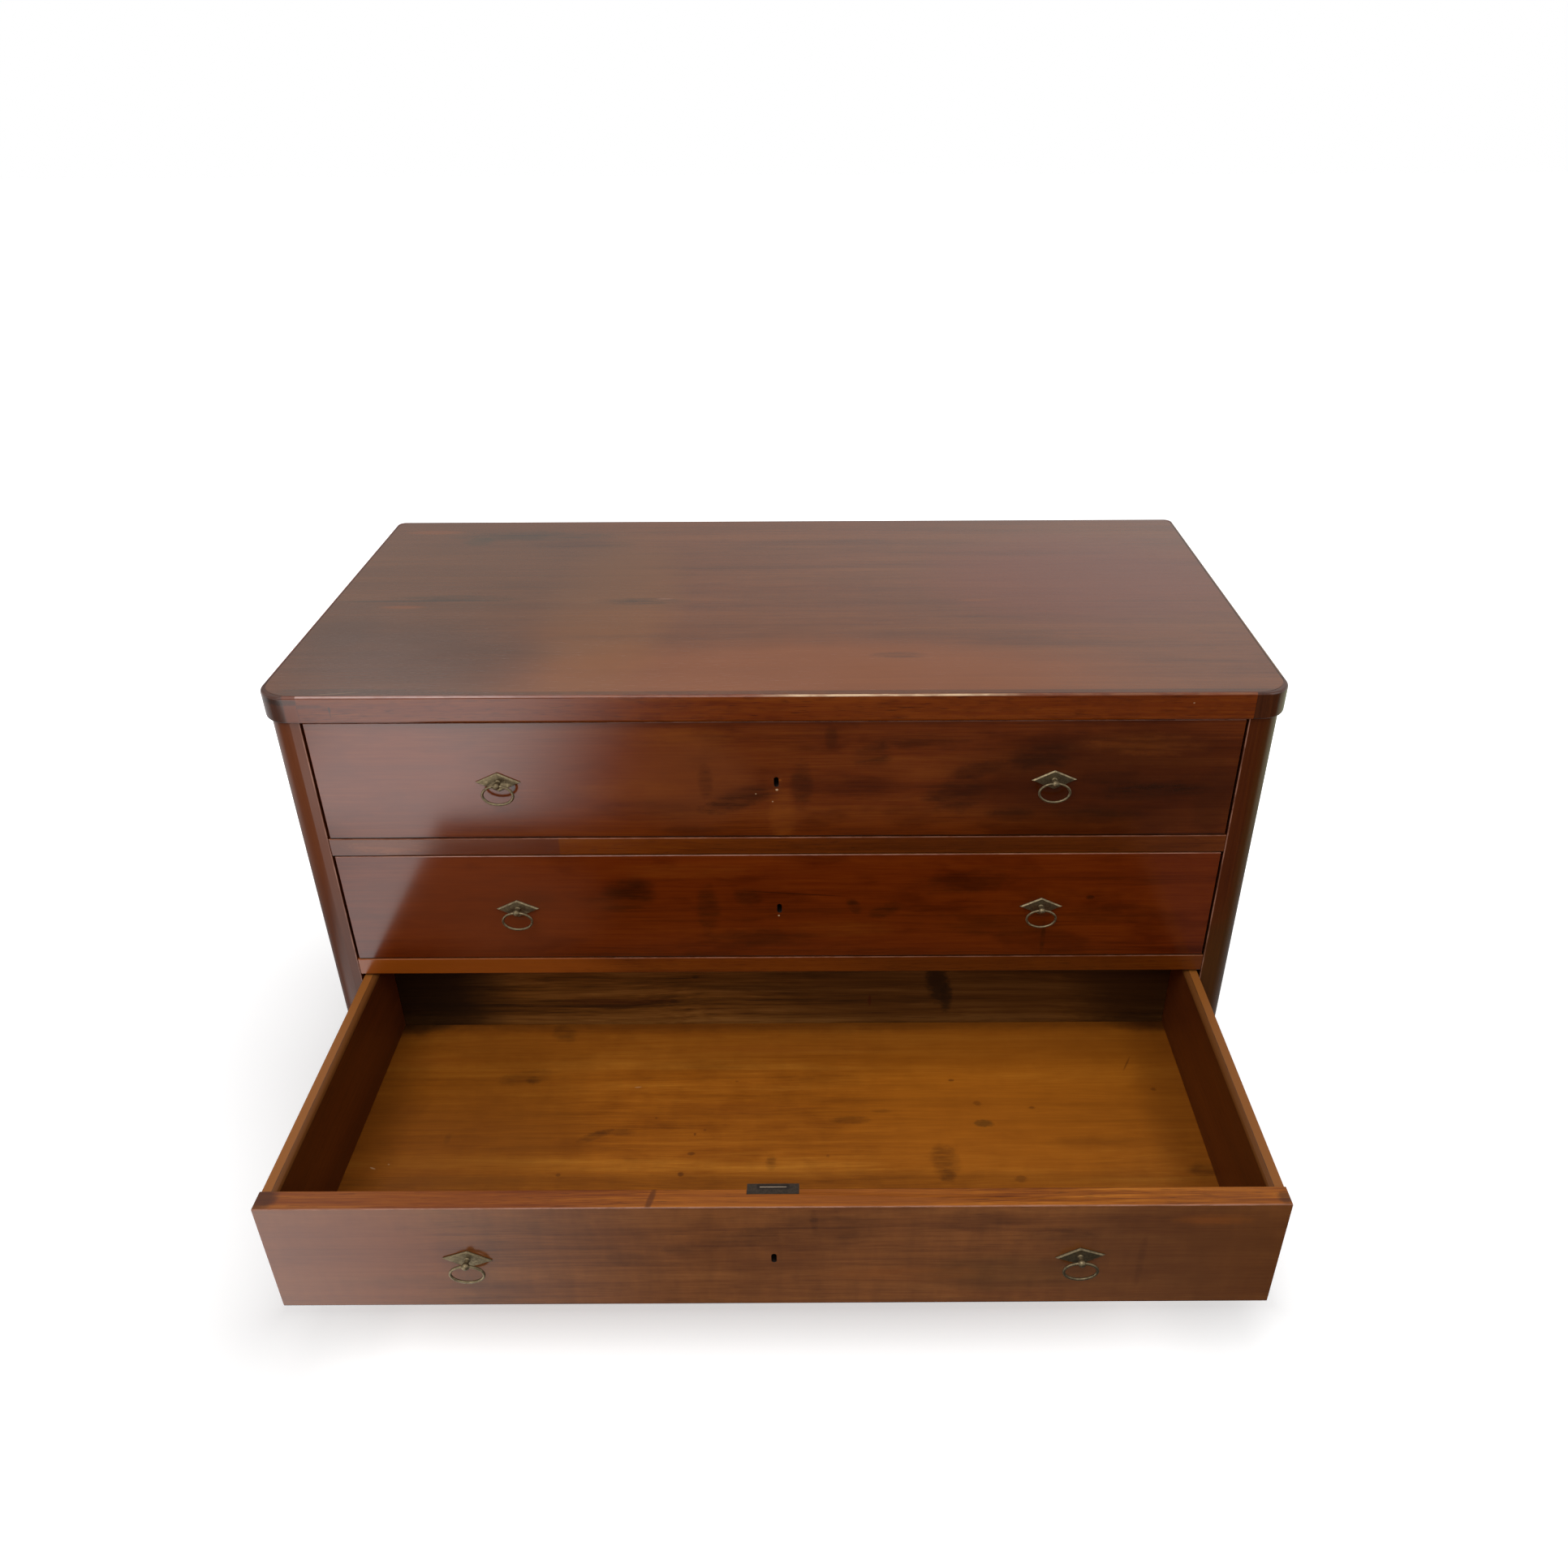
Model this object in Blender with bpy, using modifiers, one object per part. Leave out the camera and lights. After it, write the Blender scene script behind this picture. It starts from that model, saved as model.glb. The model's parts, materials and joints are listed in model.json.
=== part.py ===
"""A mahogany-veneered chest of three drawers, its bottom drawer pulled out.

Metres, +Z up, +X to the right, the drawers open towards -Y. The world origin lies on the
floor, at the centre of the box round the whole chest with its open drawer. Every piece
is placed from the middle of the case's front plane at the floor.
"""
import math

import bmesh
import bpy
from mathutils import Euler, Matrix, Vector

# Whole chest
WIDTH = 1.200
DEPTH = 0.600
FOOT_HEIGHT = 0.1235

# Top board
TOP_THICKNESS = 0.035
TOP_CORE = 0.019
TOP_RIM = 0.020
TOP_SIDE_OVERHANG = 0.0055
TOP_FRONT_OVERHANG = 0.005
TOP_FRONT_RADIUS = 0.035
TOP_REAR_RADIUS = 0.012
NOSING_RADIUS = 0.003
BAND_ROUNDING = 0.004

# Case
LEG_WIDTH = 0.041
FRONT_LEG_DEPTH = 0.045
REAR_LEG_DEPTH = 0.040
FOOT_TAPER = 0.012
SIDE_PANEL = 0.022
PANEL_TONGUE = 0.008
PANEL_TONGUE_LENGTH = 0.007
RAIL_HEIGHT = 0.0245
TENON_HEIGHT = 0.014
TENON_DEPTH = 0.026
TENON_LENGTH = 0.016
TOP_RAIL_DEPTH = 0.060
BACK_RAIL_DEPTH = 0.024
BACK_TENON_DEPTH = 0.012
BACK_BOARD = 0.012
BACK_REBATE = 0.016
BACK_LAP = 0.010

# Drawers, from the top one down
DRAWER_NAMES = ("top", "middle", "bottom")
OPENING_HEIGHTS = (0.163, 0.163, 0.160)
BEHIND_DRAWERS = 0.145
KEPT_IN_CASE = 0.065
FRONT_GAP_SIDE = 0.003
FRONT_GAP_HIGH = 0.0015
DRAWER_FRONT = 0.025
DRAWER_SIDE = 0.017
DRAWER_SIDE_STEP = 0.0015
DRAWER_BACK = 0.014
SIDE_BELOW_FRONT = 0.002
BACK_BELOW_SIDE = 0.010
SIDE_ROUNDING = 0.006
FLOOR_BOARD = 0.009
FLOOR_EDGE = 0.006
FLOOR_BEVEL = 0.030
FLOOR_RISE = 0.025
GROOVE_DEPTH = 0.006

# Dovetails
TAILS = 3
TAIL_LENGTH = 0.016
PIN_WIDTH = 0.011
TAIL_FLARE = 0.003

# Runners
RUNNER_HEIGHT = 0.022
RUNNER_INNER_STEP = 0.003
GUIDE_HEIGHT = 0.018
GUIDE_GAP = 0.0025
STOP_LENGTH = 0.020

# Locks
LOCK_WIDTH = 0.056
LOCK_THICKNESS = 0.014
LOCK_LET_IN = 0.007
LOCK_BELOW_KEY = 0.018
SELVAGE = 0.0025
SELVAGE_LIP = 0.002
LOCK_CASE_STEP = 0.001
STRIKE_GAP = 0.001
BOLT_WIDTH = 0.029
BOLT_THICKNESS = 0.003
BOLT_LENGTH = 0.030
BOLT_THROW = 0.008
BOLT_SETBACK = 0.0097
KEYHOLE_WIDTH = 0.006
KEYHOLE_HEIGHT = 0.014
KEYHOLE_DEPTH = 0.0095
KEY_BELOW_CENTRE = 0.002

# Ring pulls
PULL_FROM_END = 0.2175
PLATE_WIDTH = 0.054
PLATE_HEIGHT = 0.026
PLATE_THICKNESS = 0.0022
PLATE_BEVEL = 0.0012
BOSS_RADIUS = 0.0036
BOSS_RISE = 0.0018
BOSS_SINK = 0.0002
STEM_RADIUS = 0.0026
BALL_RADIUS = 0.0044
BALL_OUT = 0.0105
EYE_GAP = 0.0007
RING_WIRE = 0.0028
RING_WIDTH = 0.040
RING_HEIGHT = 0.029

# Degrees that the left and the right plate of each drawer have worked round anticlockwise,
# seen from the front, from the top drawer down
PLATE_TURNS = ((-0.7, 1.0), (0.0, 0.0), (-4.5, 5.0))

# Clearances and small edges; cutters run past the faces that they open by CUT_PAST
FIT = 0.0003
RUNNING = 0.0003
ARRIS = 0.0010
INSET = 0.0010
CUT_PAST = 0.006
WELD = 0.000001
EMPTY_SIZE = 0.05

# Facets of the round forms
FRONT_CORNER_STEPS = 10
REAR_CORNER_STEPS = 5
POST_STEPS = 8
KEYHOLE_STEPS = 6
ROUND_SEGMENTS = 4
EASED_SEGMENTS = 2
STEM_SIDES = 16
BALL_SEGMENTS = 20
BALL_RINGS = 12
BOSS_SEGMENTS = 16
BOSS_RINGS = 8
RING_STEPS = 36
WIRE_RESOLUTION = 2

# Angles in degrees, for merging, rounding and shading
FLAT_ANGLE = 0.1
ARRIS_ANGLE = 40
ROUND_ANGLE = 35
WIRE_ANGLE = 60

# Sizes that follow
CASE_HALF = WIDTH / 2 - TOP_SIDE_OVERHANG
CASE_DEPTH = DEPTH - TOP_FRONT_OVERHANG
OPENING_HALF = CASE_HALF - LEG_WIDTH
PANEL_INNER = CASE_HALF - SIDE_PANEL
CASE_TOP = FOOT_HEIGHT + sum(OPENING_HEIGHTS) + len(OPENING_HEIGHTS) * RAIL_HEIGHT
HEIGHT = CASE_TOP + TOP_THICKNESS
RECESS_TOP = HEIGHT - TOP_CORE
REAR_LEG_FRONT = CASE_DEPTH - REAR_LEG_DEPTH
LEG_RADIUS = TOP_FRONT_RADIUS - TOP_SIDE_OVERHANG

FRONT_HALF = OPENING_HALF - FRONT_GAP_SIDE
SIDE_OUTER = FRONT_HALF - DRAWER_SIDE_STEP
SIDE_INNER = SIDE_OUTER - DRAWER_SIDE
DRAWER_DEPTH = CASE_DEPTH - BEHIND_DRAWERS
PULL_OUT = DRAWER_DEPTH - KEPT_IN_CASE
FRONT_LOW = FRONT_GAP_HIGH - RUNNING
FLOOR_UNDER = FLOOR_RISE - FLOOR_BOARD
LOCK_FRONT = DRAWER_FRONT - LOCK_LET_IN
BOLT_FROM_FRONT = LOCK_FRONT + BOLT_SETBACK

PULL_X = FRONT_HALF - PULL_FROM_END
PULL_REACH = BALL_OUT + BALL_RADIUS
EYE_RADIUS = RING_WIRE / 2 + EYE_GAP
FRONT_PLANE_Y = (PULL_OUT + PULL_REACH - CASE_DEPTH) / 2

COLOURS = {
    "mahogany_veneer": ((0.135, 0.034, 0.015), 0.28, 0.0),
    "mahogany_solid": ((0.170, 0.050, 0.020), 0.34, 0.0),
    "drawer_mahogany": ((0.090, 0.026, 0.012), 0.45, 0.0),
    "pine_stained": ((0.330, 0.140, 0.035), 0.42, 0.0),
    "pine_raw": ((0.420, 0.250, 0.120), 0.70, 0.0),
    "iron": ((0.030, 0.032, 0.034), 0.45, 1.0),
    "brass": ((0.230, 0.185, 0.095), 0.40, 1.0),
}


def clear_scene():
    """Remove the objects of the scene that the script starts in."""
    for obj in list(bpy.data.objects):
        bpy.data.objects.remove(obj, do_unlink=True)


def new_collection(name):
    """A collection linked to the scene."""
    made = bpy.data.collections.new(name)
    bpy.context.scene.collection.children.link(made)
    return made


def make_material(name):
    """A Principled material of the named finish."""
    colour, roughness, metallic = COLOURS[name]
    material = bpy.data.materials.new(name)
    material.use_nodes = True
    shader = material.node_tree.nodes["Principled BSDF"]
    shader.inputs["Base Color"].default_value = (*colour, 1.0)
    shader.inputs["Roughness"].default_value = roughness
    shader.inputs["Metallic"].default_value = metallic
    material.diffuse_color = (*colour, 1.0)
    return material


def place(obj, collection, parent):
    """Move an object into a collection and under a parent empty."""
    for old in list(obj.users_collection):
        old.objects.unlink(obj)
    collection.objects.link(obj)
    obj.parent = parent


def empty(name, parent, location):
    """An empty that carries pieces which are placed from it."""
    made = bpy.data.objects.new(name, None)
    made.location = location
    made.empty_display_size = EMPTY_SIZE
    place(made, PARTS, parent)
    return made


def edit_mesh(obj, change):
    """Run change on the object's mesh as a bmesh, with its normals turned outwards."""
    mesh = bmesh.new()
    mesh.from_mesh(obj.data)
    change(mesh)
    bmesh.ops.recalc_face_normals(mesh, faces=mesh.faces)
    mesh.to_mesh(obj.data)
    mesh.free()


def box(name, x, y, z):
    """A box over the ranges x, y and z, with its origin at its centre."""
    ranges = (x, y, z)
    centre = [(low + high) / 2 for low, high in ranges]
    bpy.ops.mesh.primitive_cube_add(size=1.0, location=centre)
    obj = bpy.context.object
    obj.name = name
    obj.data.name = name
    obj.scale = [abs(high - low) for low, high in ranges]
    bpy.ops.object.transform_apply(location=False, rotation=False, scale=True)
    return obj


PLANES = {
    "XY": Euler((0.0, 0.0, 0.0)),
    "XZ": Euler((math.pi / 2, 0.0, 0.0)),
    "YZ": Euler((math.pi / 2, 0.0, math.pi / 2)),
}
PLANE_NORMALS = {"XY": Vector((0, 0, 1)), "XZ": Vector((0, 1, 0)), "YZ": Vector((1, 0, 0))}


def as_mesh(obj, name):
    """Replace a curve object with its mesh, caps welded."""
    bpy.context.view_layer.update()
    depsgraph = bpy.context.evaluated_depsgraph_get()
    mesh = bpy.data.meshes.new_from_object(obj.evaluated_get(depsgraph))
    made = bpy.data.objects.new(name, mesh)
    made.matrix_world = obj.matrix_world
    bpy.context.scene.collection.objects.link(made)
    bpy.data.objects.remove(obj, do_unlink=True)
    mesh.name = name
    mesh.materials.clear()
    edit_mesh(made, lambda m: bmesh.ops.remove_doubles(m, verts=m.verts, dist=WELD))
    return made


def merge_flat_faces(mesh):
    """Join coplanar faces, so that a filled outline is one face."""
    bmesh.ops.dissolve_limit(
        mesh, angle_limit=math.radians(FLAT_ANGLE), verts=mesh.verts, edges=mesh.edges)


def prism(name, outline, plane, low, high):
    """An outline in the named plane, extruded from low to high along its normal."""
    curve = bpy.data.curves.new(name, "CURVE")
    curve.dimensions = "2D"
    curve.fill_mode = "BOTH"
    curve.extrude = abs(high - low) / 2
    spline = curve.splines.new("POLY")
    spline.points.add(len(outline) - 1)
    for point, (u, v) in zip(spline.points, outline):
        point.co = (u, v, 0.0, 1.0)
    spline.use_cyclic_u = True
    drawn = bpy.data.objects.new(name + "_outline", curve)
    bpy.context.scene.collection.objects.link(drawn)
    obj = as_mesh(drawn, name)
    edit_mesh(obj, merge_flat_faces)
    obj.data.transform(PLANES[plane].to_matrix().to_4x4())
    obj.location = PLANE_NORMALS[plane] * (low + high) / 2
    return obj


def arc(centre, radius, start, end, steps):
    """Points of an arc, angles in degrees, both ends included."""
    angles = [math.radians(start + (end - start) * i / steps) for i in range(steps + 1)]
    return [(centre[0] + radius * math.cos(a), centre[1] + radius * math.sin(a)) for a in angles]


def bevel_edges(obj, chosen, width, segments):
    """Round the edges whose two ends both pass the test chosen."""
    def change(mesh):
        edges = [e for e in mesh.edges if all(chosen(v.co + obj.location) for v in e.verts)]
        bmesh.ops.bevel(
            mesh, geom=edges, offset=width, segments=segments, profile=0.5, affect="EDGES")
    edit_mesh(obj, change)


def slice_off(obj, point, normal):
    """Cut away what lies on the far side of a plane and close the cut."""
    def change(mesh):
        everything = list(mesh.verts) + list(mesh.edges) + list(mesh.faces)
        cut = bmesh.ops.bisect_plane(
            mesh, geom=everything, plane_co=Vector(point) - obj.location,
            plane_no=normal, clear_outer=True)
        edges = [g for g in cut["geom_cut"] if isinstance(g, bmesh.types.BMEdge)]
        bmesh.ops.contextual_create(mesh, geom=edges)
    edit_mesh(obj, change)


def soften(obj):
    """Take the sharp arris off every edge of a piece."""
    bevel = obj.modifiers.new("Arris", "BEVEL")
    bevel.width = ARRIS
    bevel.segments = EASED_SEGMENTS
    bevel.limit_method = "ANGLE"
    bevel.angle_limit = math.radians(ARRIS_ANGLE)


def combine(obj, other, operation):
    """Cut another solid out of this one, or join it on."""
    boolean = obj.modifiers.new(operation.title(), "BOOLEAN")
    boolean.operation = operation
    boolean.solver = "EXACT"
    boolean.object = other
    place(other, CUTTERS, obj.parent)
    other.hide_render = True
    other.display_type = "WIRE"


def finish(obj, parent, material, smooth_angle=None):
    """Put a finished piece under its parent with its material and shading."""
    place(obj, PARTS, parent)
    obj.data.materials.append(MATERIALS[material])
    if smooth_angle is not None:
        obj.data.shade_smooth()
        obj.data.set_sharp_from_angle(angle=math.radians(smooth_angle))
    return obj


def span(side, inner, outer):
    """A range along X on one side of the chest: side is -1 on the left and 1 on the right."""
    return sorted((side * inner, side * outer))


def opening_floor(index):
    """Height of the rail that drawer number index runs on, counted from the top."""
    below = OPENING_HEIGHTS[index + 1:]
    return FOOT_HEIGHT + RAIL_HEIGHT + sum(below) + len(below) * RAIL_HEIGHT


def rounded_rectangle():
    """Outline of the top board, with larger radii at the front corners."""
    half = WIDTH / 2
    front = -TOP_FRONT_OVERHANG
    back = CASE_DEPTH
    big, small = TOP_FRONT_RADIUS, TOP_REAR_RADIUS
    outline = arc((-half + big, front + big), big, 180, 270, FRONT_CORNER_STEPS)
    outline += arc((half - big, front + big), big, 270, 360, FRONT_CORNER_STEPS)
    outline += arc((half - small, back - small), small, 0, 90, REAR_CORNER_STEPS)
    outline += arc((-half + small, back - small), small, 90, 180, REAR_CORNER_STEPS)
    return outline


def make_top(case):
    """The top board: a thick rounded rim round a thinner board, hollow underneath."""
    top = prism("top_board", rounded_rectangle(), "XY", CASE_TOP, HEIGHT)
    bevel_edges(top, lambda p: p.z > HEIGHT - FIT, NOSING_RADIUS, ROUND_SEGMENTS)
    bevel_edges(top, lambda p: p.z < CASE_TOP + FIT, BAND_ROUNDING, EASED_SEGMENTS)
    half = WIDTH / 2 - TOP_RIM
    recess = box(
        "top_recess", (-half, half),
        (TOP_RIM - TOP_FRONT_OVERHANG, CASE_DEPTH - TOP_RIM), (CASE_TOP - CUT_PAST, RECESS_TOP))
    finish(top, case, "mahogany_veneer", ROUND_ANGLE)
    combine(top, recess, "DIFFERENCE")


def leg_outline(side, front, back, radius):
    """Outline of a leg seen from above, its outer front corner rounded."""
    outer = side * CASE_HALF
    inner = side * OPENING_HALF
    centre = (outer - side * radius, front + radius)
    rounded = [(outer, front)]
    if radius:
        rounded = arc(centre, radius, 270, 270 + side * 90, POST_STEPS)
    return [(inner, front)] + rounded + [(outer, back), (inner, back)]


def make_leg(name, case, side, front, back, radius, material):
    """A leg from the floor to the top board, its foot tapered on the two inner faces."""
    leg = prism(name, leg_outline(side, front, back, radius), "XY", 0.0, CASE_TOP - FIT)
    case_middle = CASE_DEPTH / 2
    inner_y = back if back < case_middle else front
    taper_y = math.copysign(FOOT_TAPER, inner_y - case_middle)

    def taper(mesh):
        everything = list(mesh.verts) + list(mesh.edges) + list(mesh.faces)
        level = Vector((0, 0, FOOT_HEIGHT)) - leg.location
        bmesh.ops.bisect_plane(mesh, geom=everything, plane_co=level, plane_no=(0, 0, 1))
        for vert in mesh.verts:
            if vert.co.z + leg.location.z > FOOT_HEIGHT / 2:
                continue
            if abs(vert.co.x - side * OPENING_HALF) < FIT:
                vert.co.x += side * FOOT_TAPER
            if abs(vert.co.y - inner_y) < FIT:
                vert.co.y += taper_y
    edit_mesh(leg, taper)
    return finish(leg, case, material, ROUND_ANGLE)


def cut_mortise(leg, side, y, centre_z):
    """A mortise for a rail's tenon in a leg's inner face; y is the tenon's range."""
    half = TENON_HEIGHT / 2 + FIT
    mortise = box(
        leg.name + "_mortise",
        span(side, OPENING_HALF - CUT_PAST, OPENING_HALF + TENON_LENGTH + FIT),
        (y[0] - FIT, y[1] + FIT), (centre_z - half, centre_z + half))
    combine(leg, mortise, "DIFFERENCE")


def cut_panel_groove(leg, side, y):
    """The groove for a side panel's tongue; y is its range, open at the panel's end."""
    centre = CASE_HALF - SIDE_PANEL / 2
    half = PANEL_TONGUE / 2 + FIT
    groove = box(
        leg.name + "_groove", span(side, centre - half, centre + half), y,
        (FOOT_HEIGHT, CASE_TOP + CUT_PAST))
    combine(leg, groove, "DIFFERENCE")


def rail_tenon_y():
    """Depth range of the tenons of the front rails."""
    front = (FRONT_LEG_DEPTH - TENON_DEPTH) / 2
    return front, front + TENON_DEPTH


def back_rail_y():
    """Depth range of the rail behind the feet, just inside the back boards."""
    back = CASE_DEPTH - BACK_BOARD - FIT
    return back - BACK_RAIL_DEPTH, back


def back_tenon_y():
    """Depth range of that rail's tenons, in the middle of its thickness."""
    middle = sum(back_rail_y()) / 2
    return middle - BACK_TENON_DEPTH / 2, middle + BACK_TENON_DEPTH / 2


def make_legs(case):
    """Two front posts with rounded corners and two plain rear posts."""
    rail_tops = [opening_floor(i) for i in range(len(OPENING_HEIGHTS))]
    groove = PANEL_TONGUE_LENGTH
    for side, word in ((-1, "left"), (1, "right")):
        front = make_leg(
            "front_leg_" + word, case, side, 0.0, FRONT_LEG_DEPTH, LEG_RADIUS, "mahogany_solid")
        for top in rail_tops:
            cut_mortise(front, side, rail_tenon_y(), top - RAIL_HEIGHT / 2)
        cut_panel_groove(front, side, (FRONT_LEG_DEPTH - groove, FRONT_LEG_DEPTH + CUT_PAST))
        rear = make_leg(
            "rear_leg_" + word, case, side, REAR_LEG_FRONT, CASE_DEPTH, 0.0, "mahogany_solid")
        cut_mortise(rear, side, back_tenon_y(), FOOT_HEIGHT + RAIL_HEIGHT / 2)
        cut_panel_groove(rear, side, (REAR_LEG_FRONT - CUT_PAST, REAR_LEG_FRONT + groove))
        rebate = box(
            rear.name + "_rebate",
            span(side, OPENING_HALF - CUT_PAST, OPENING_HALF + BACK_REBATE),
            (CASE_DEPTH - BACK_BOARD - FIT, CASE_DEPTH + CUT_PAST),
            (FOOT_HEIGHT - FIT, CASE_TOP + CUT_PAST))
        combine(rear, rebate, "DIFFERENCE")


def make_side_panels(case):
    """Side boards between the legs, held by tongues in the legs' grooves."""
    for side, word in ((-1, "left"), (1, "right")):
        panel = box(
            "side_panel_" + word, span(side, PANEL_INNER, CASE_HALF),
            (FRONT_LEG_DEPTH + FIT, REAR_LEG_FRONT - FIT), (FOOT_HEIGHT, CASE_TOP - FIT))
        finish(panel, case, "mahogany_veneer")
        centre = CASE_HALF - SIDE_PANEL / 2
        half = PANEL_TONGUE / 2
        reach = PANEL_TONGUE_LENGTH - FIT
        tongue = box(
            panel.name + "_tongue", span(side, centre - half, centre + half),
            (FRONT_LEG_DEPTH - reach, REAR_LEG_FRONT + reach),
            (FOOT_HEIGHT + INSET, CASE_TOP - INSET))
        combine(panel, tongue, "UNION")


def make_rail(name, case, y, tenon_y, top, material):
    """A rail between two legs with a tenon at each end."""
    half = OPENING_HALF - FIT
    rail = box(name, (-half, half), y, (top - RAIL_HEIGHT, top))
    soften(rail)
    finish(rail, case, material)
    reach = OPENING_HALF + TENON_LENGTH
    centre = top - RAIL_HEIGHT / 2
    tenon = box(
        name + "_tenons", (-reach, reach), tenon_y,
        (centre - TENON_HEIGHT / 2, centre + TENON_HEIGHT / 2))
    combine(rail, tenon, "UNION")
    return rail


def cut_strike(rail, underside):
    """The slot in a rail's underside that a thrown lock bolt enters."""
    half = BOLT_WIDTH / 2 + STRIKE_GAP
    half_depth = BOLT_THICKNESS / 2 + STRIKE_GAP
    slot = box(
        rail.name + "_strike", (-half, half),
        (BOLT_FROM_FRONT - half_depth, BOLT_FROM_FRONT + half_depth),
        (underside - CUT_PAST, underside + BOLT_THROW))
    combine(rail, slot, "DIFFERENCE")


def make_rails(case):
    """The rails that part the drawers, and the rails under the top and at the bottom."""
    front_y = (0.0, FRONT_LEG_DEPTH)
    names = ("drawer_rail_upper", "drawer_rail_lower", "bottom_rail_front")
    for index, name in enumerate(names):
        top = opening_floor(index)
        rail = make_rail(name, case, front_y, rail_tenon_y(), top, "mahogany_solid")
        if name.startswith("drawer_rail"):
            cut_strike(rail, top - RAIL_HEIGHT)
    make_rail(
        "bottom_rail_back", case, back_rail_y(), back_tenon_y(), FOOT_HEIGHT + RAIL_HEIGHT,
        "pine_raw")

    half = WIDTH / 2 - TOP_RIM - FIT
    inside_front = TOP_RIM - TOP_FRONT_OVERHANG + FIT
    inside_back = CASE_DEPTH - TOP_RIM - FIT
    levels = (CASE_TOP, RECESS_TOP - FIT)
    front_back = inside_front + TOP_RAIL_DEPTH
    back_front = inside_back - TOP_RAIL_DEPTH
    front = box("top_rail_front", (-half, half), (inside_front, front_back), levels)
    finish(front, case, "pine_raw")
    cut_strike(front, CASE_TOP)
    back = box("top_rail_back", (-half, half), (back_front, inside_back), levels)
    finish(back, case, "pine_raw")
    for side, word in ((-1, "left"), (1, "right")):
        kicker = box(
            "kicker_" + word, span(side, SIDE_INNER - RUNNER_INNER_STEP, half),
            (front_back + FIT, back_front - FIT), levels)
        finish(kicker, case, "pine_raw")


def make_back(case):
    """Pine boards that lap over each other, housed in the rear legs' rebates."""
    half = OPENING_HALF + BACK_REBATE - FIT
    words = ("lower", "middle", "upper")
    height = (CASE_TOP - FIT - FOOT_HEIGHT) / len(words)
    inner = CASE_DEPTH - BACK_BOARD
    middle = CASE_DEPTH - BACK_BOARD / 2
    for index, word in enumerate(words):
        low = FOOT_HEIGHT + index * height
        high = low + height - FIT
        first = index == 0
        last = index == len(words) - 1
        lap_low = low if first else low + BACK_LAP
        lap_high = high if last else high + BACK_LAP
        outline = [(inner, lap_low)]
        if not first:
            outline += [(middle + FIT / 2, lap_low), (middle + FIT / 2, low)]
        outline += [(CASE_DEPTH, low), (CASE_DEPTH, high)]
        if not last:
            outline += [(middle - FIT / 2, high), (middle - FIT / 2, lap_high)]
        outline.append((inner, lap_high))
        finish(prism("back_board_" + word, outline, "YZ", -half, half), case, "pine_raw")


def make_runners(case):
    """Strips that each drawer slides on, with a guide beside its side and a stop behind."""
    inner = SIDE_INNER - RUNNER_INNER_STEP
    guide = SIDE_OUTER + GUIDE_GAP
    outer = PANEL_INNER - FIT
    for index, drawer in enumerate(DRAWER_NAMES):
        top = opening_floor(index)
        low, high = top - RUNNER_HEIGHT, top + GUIDE_HEIGHT
        for side, word in ((-1, "left"), (1, "right")):
            outline = [
                (inner, low), (outer, low), (outer, high), (guide, high), (guide, top),
                (inner, top)]
            outline = [(side * x, z) for x, z in outline]
            runner = prism(
                f"runner_{drawer}_{word}", outline, "XZ", FRONT_LEG_DEPTH + FIT,
                REAR_LEG_FRONT - FIT)
            finish(runner, case, "pine_raw")
            stop_front = DRAWER_DEPTH + 2 * FIT
            stop = box(
                runner.name + "_stop", span(side, inner + INSET, guide + INSET),
                (stop_front, stop_front + STOP_LENGTH), (top - INSET, high - INSET))
            combine(runner, stop, "UNION")


def tails(low, high, root, tip, grow=0.0):
    """Dovetail outlines (y, z) between two heights, wider at their tip than at their root."""
    pitch = (high - low) / TAILS
    out = math.copysign(1.0, tip - root)
    shapes = []
    for index in range(TAILS):
        centre = low + (index + 0.5) * pitch
        root_half = (pitch - PIN_WIDTH) / 2 + grow
        tip_half = root_half + TAIL_FLARE
        shapes.append([
            (root, centre - root_half), (tip + out * grow, centre - tip_half),
            (tip + out * grow, centre + tip_half), (root, centre + root_half)])
    return shapes


class DrawerSizes:
    """Heights of one drawer, measured from the underside of its sides."""

    def __init__(self, opening):
        self.front_top = opening - FRONT_GAP_HIGH - RUNNING
        self.side_top = self.front_top - SIDE_BELOW_FRONT
        self.back_low = FLOOR_RISE + FIT
        self.back_top = self.side_top - BACK_BELOW_SIDE
        self.centre = (FRONT_LOW + self.front_top) / 2
        self.key = self.centre - KEY_BELOW_CENTRE
        self.lock_low = self.key - LOCK_BELOW_KEY

    def front_tails(self, grow=0.0):
        """Tails that enter the drawer front from behind."""
        return tails(0.0, self.side_top, DRAWER_FRONT + FIT, DRAWER_FRONT - TAIL_LENGTH, grow)

    def rear_tails(self, grow=0.0):
        """Tails that pass through the drawer back."""
        root = DRAWER_DEPTH - DRAWER_BACK - FIT
        return tails(self.back_low, self.back_top, root, DRAWER_DEPTH, grow)


def keyhole_outline(centre_z):
    """A slot with round ends, seen from the front."""
    radius = KEYHOLE_WIDTH / 2
    rise = KEYHOLE_HEIGHT / 2 - radius
    upper = arc((0, centre_z + rise), radius, 0, 180, KEYHOLE_STEPS)
    lower = arc((0, centre_z - rise), radius, 180, 360, KEYHOLE_STEPS)
    return upper + lower


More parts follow.
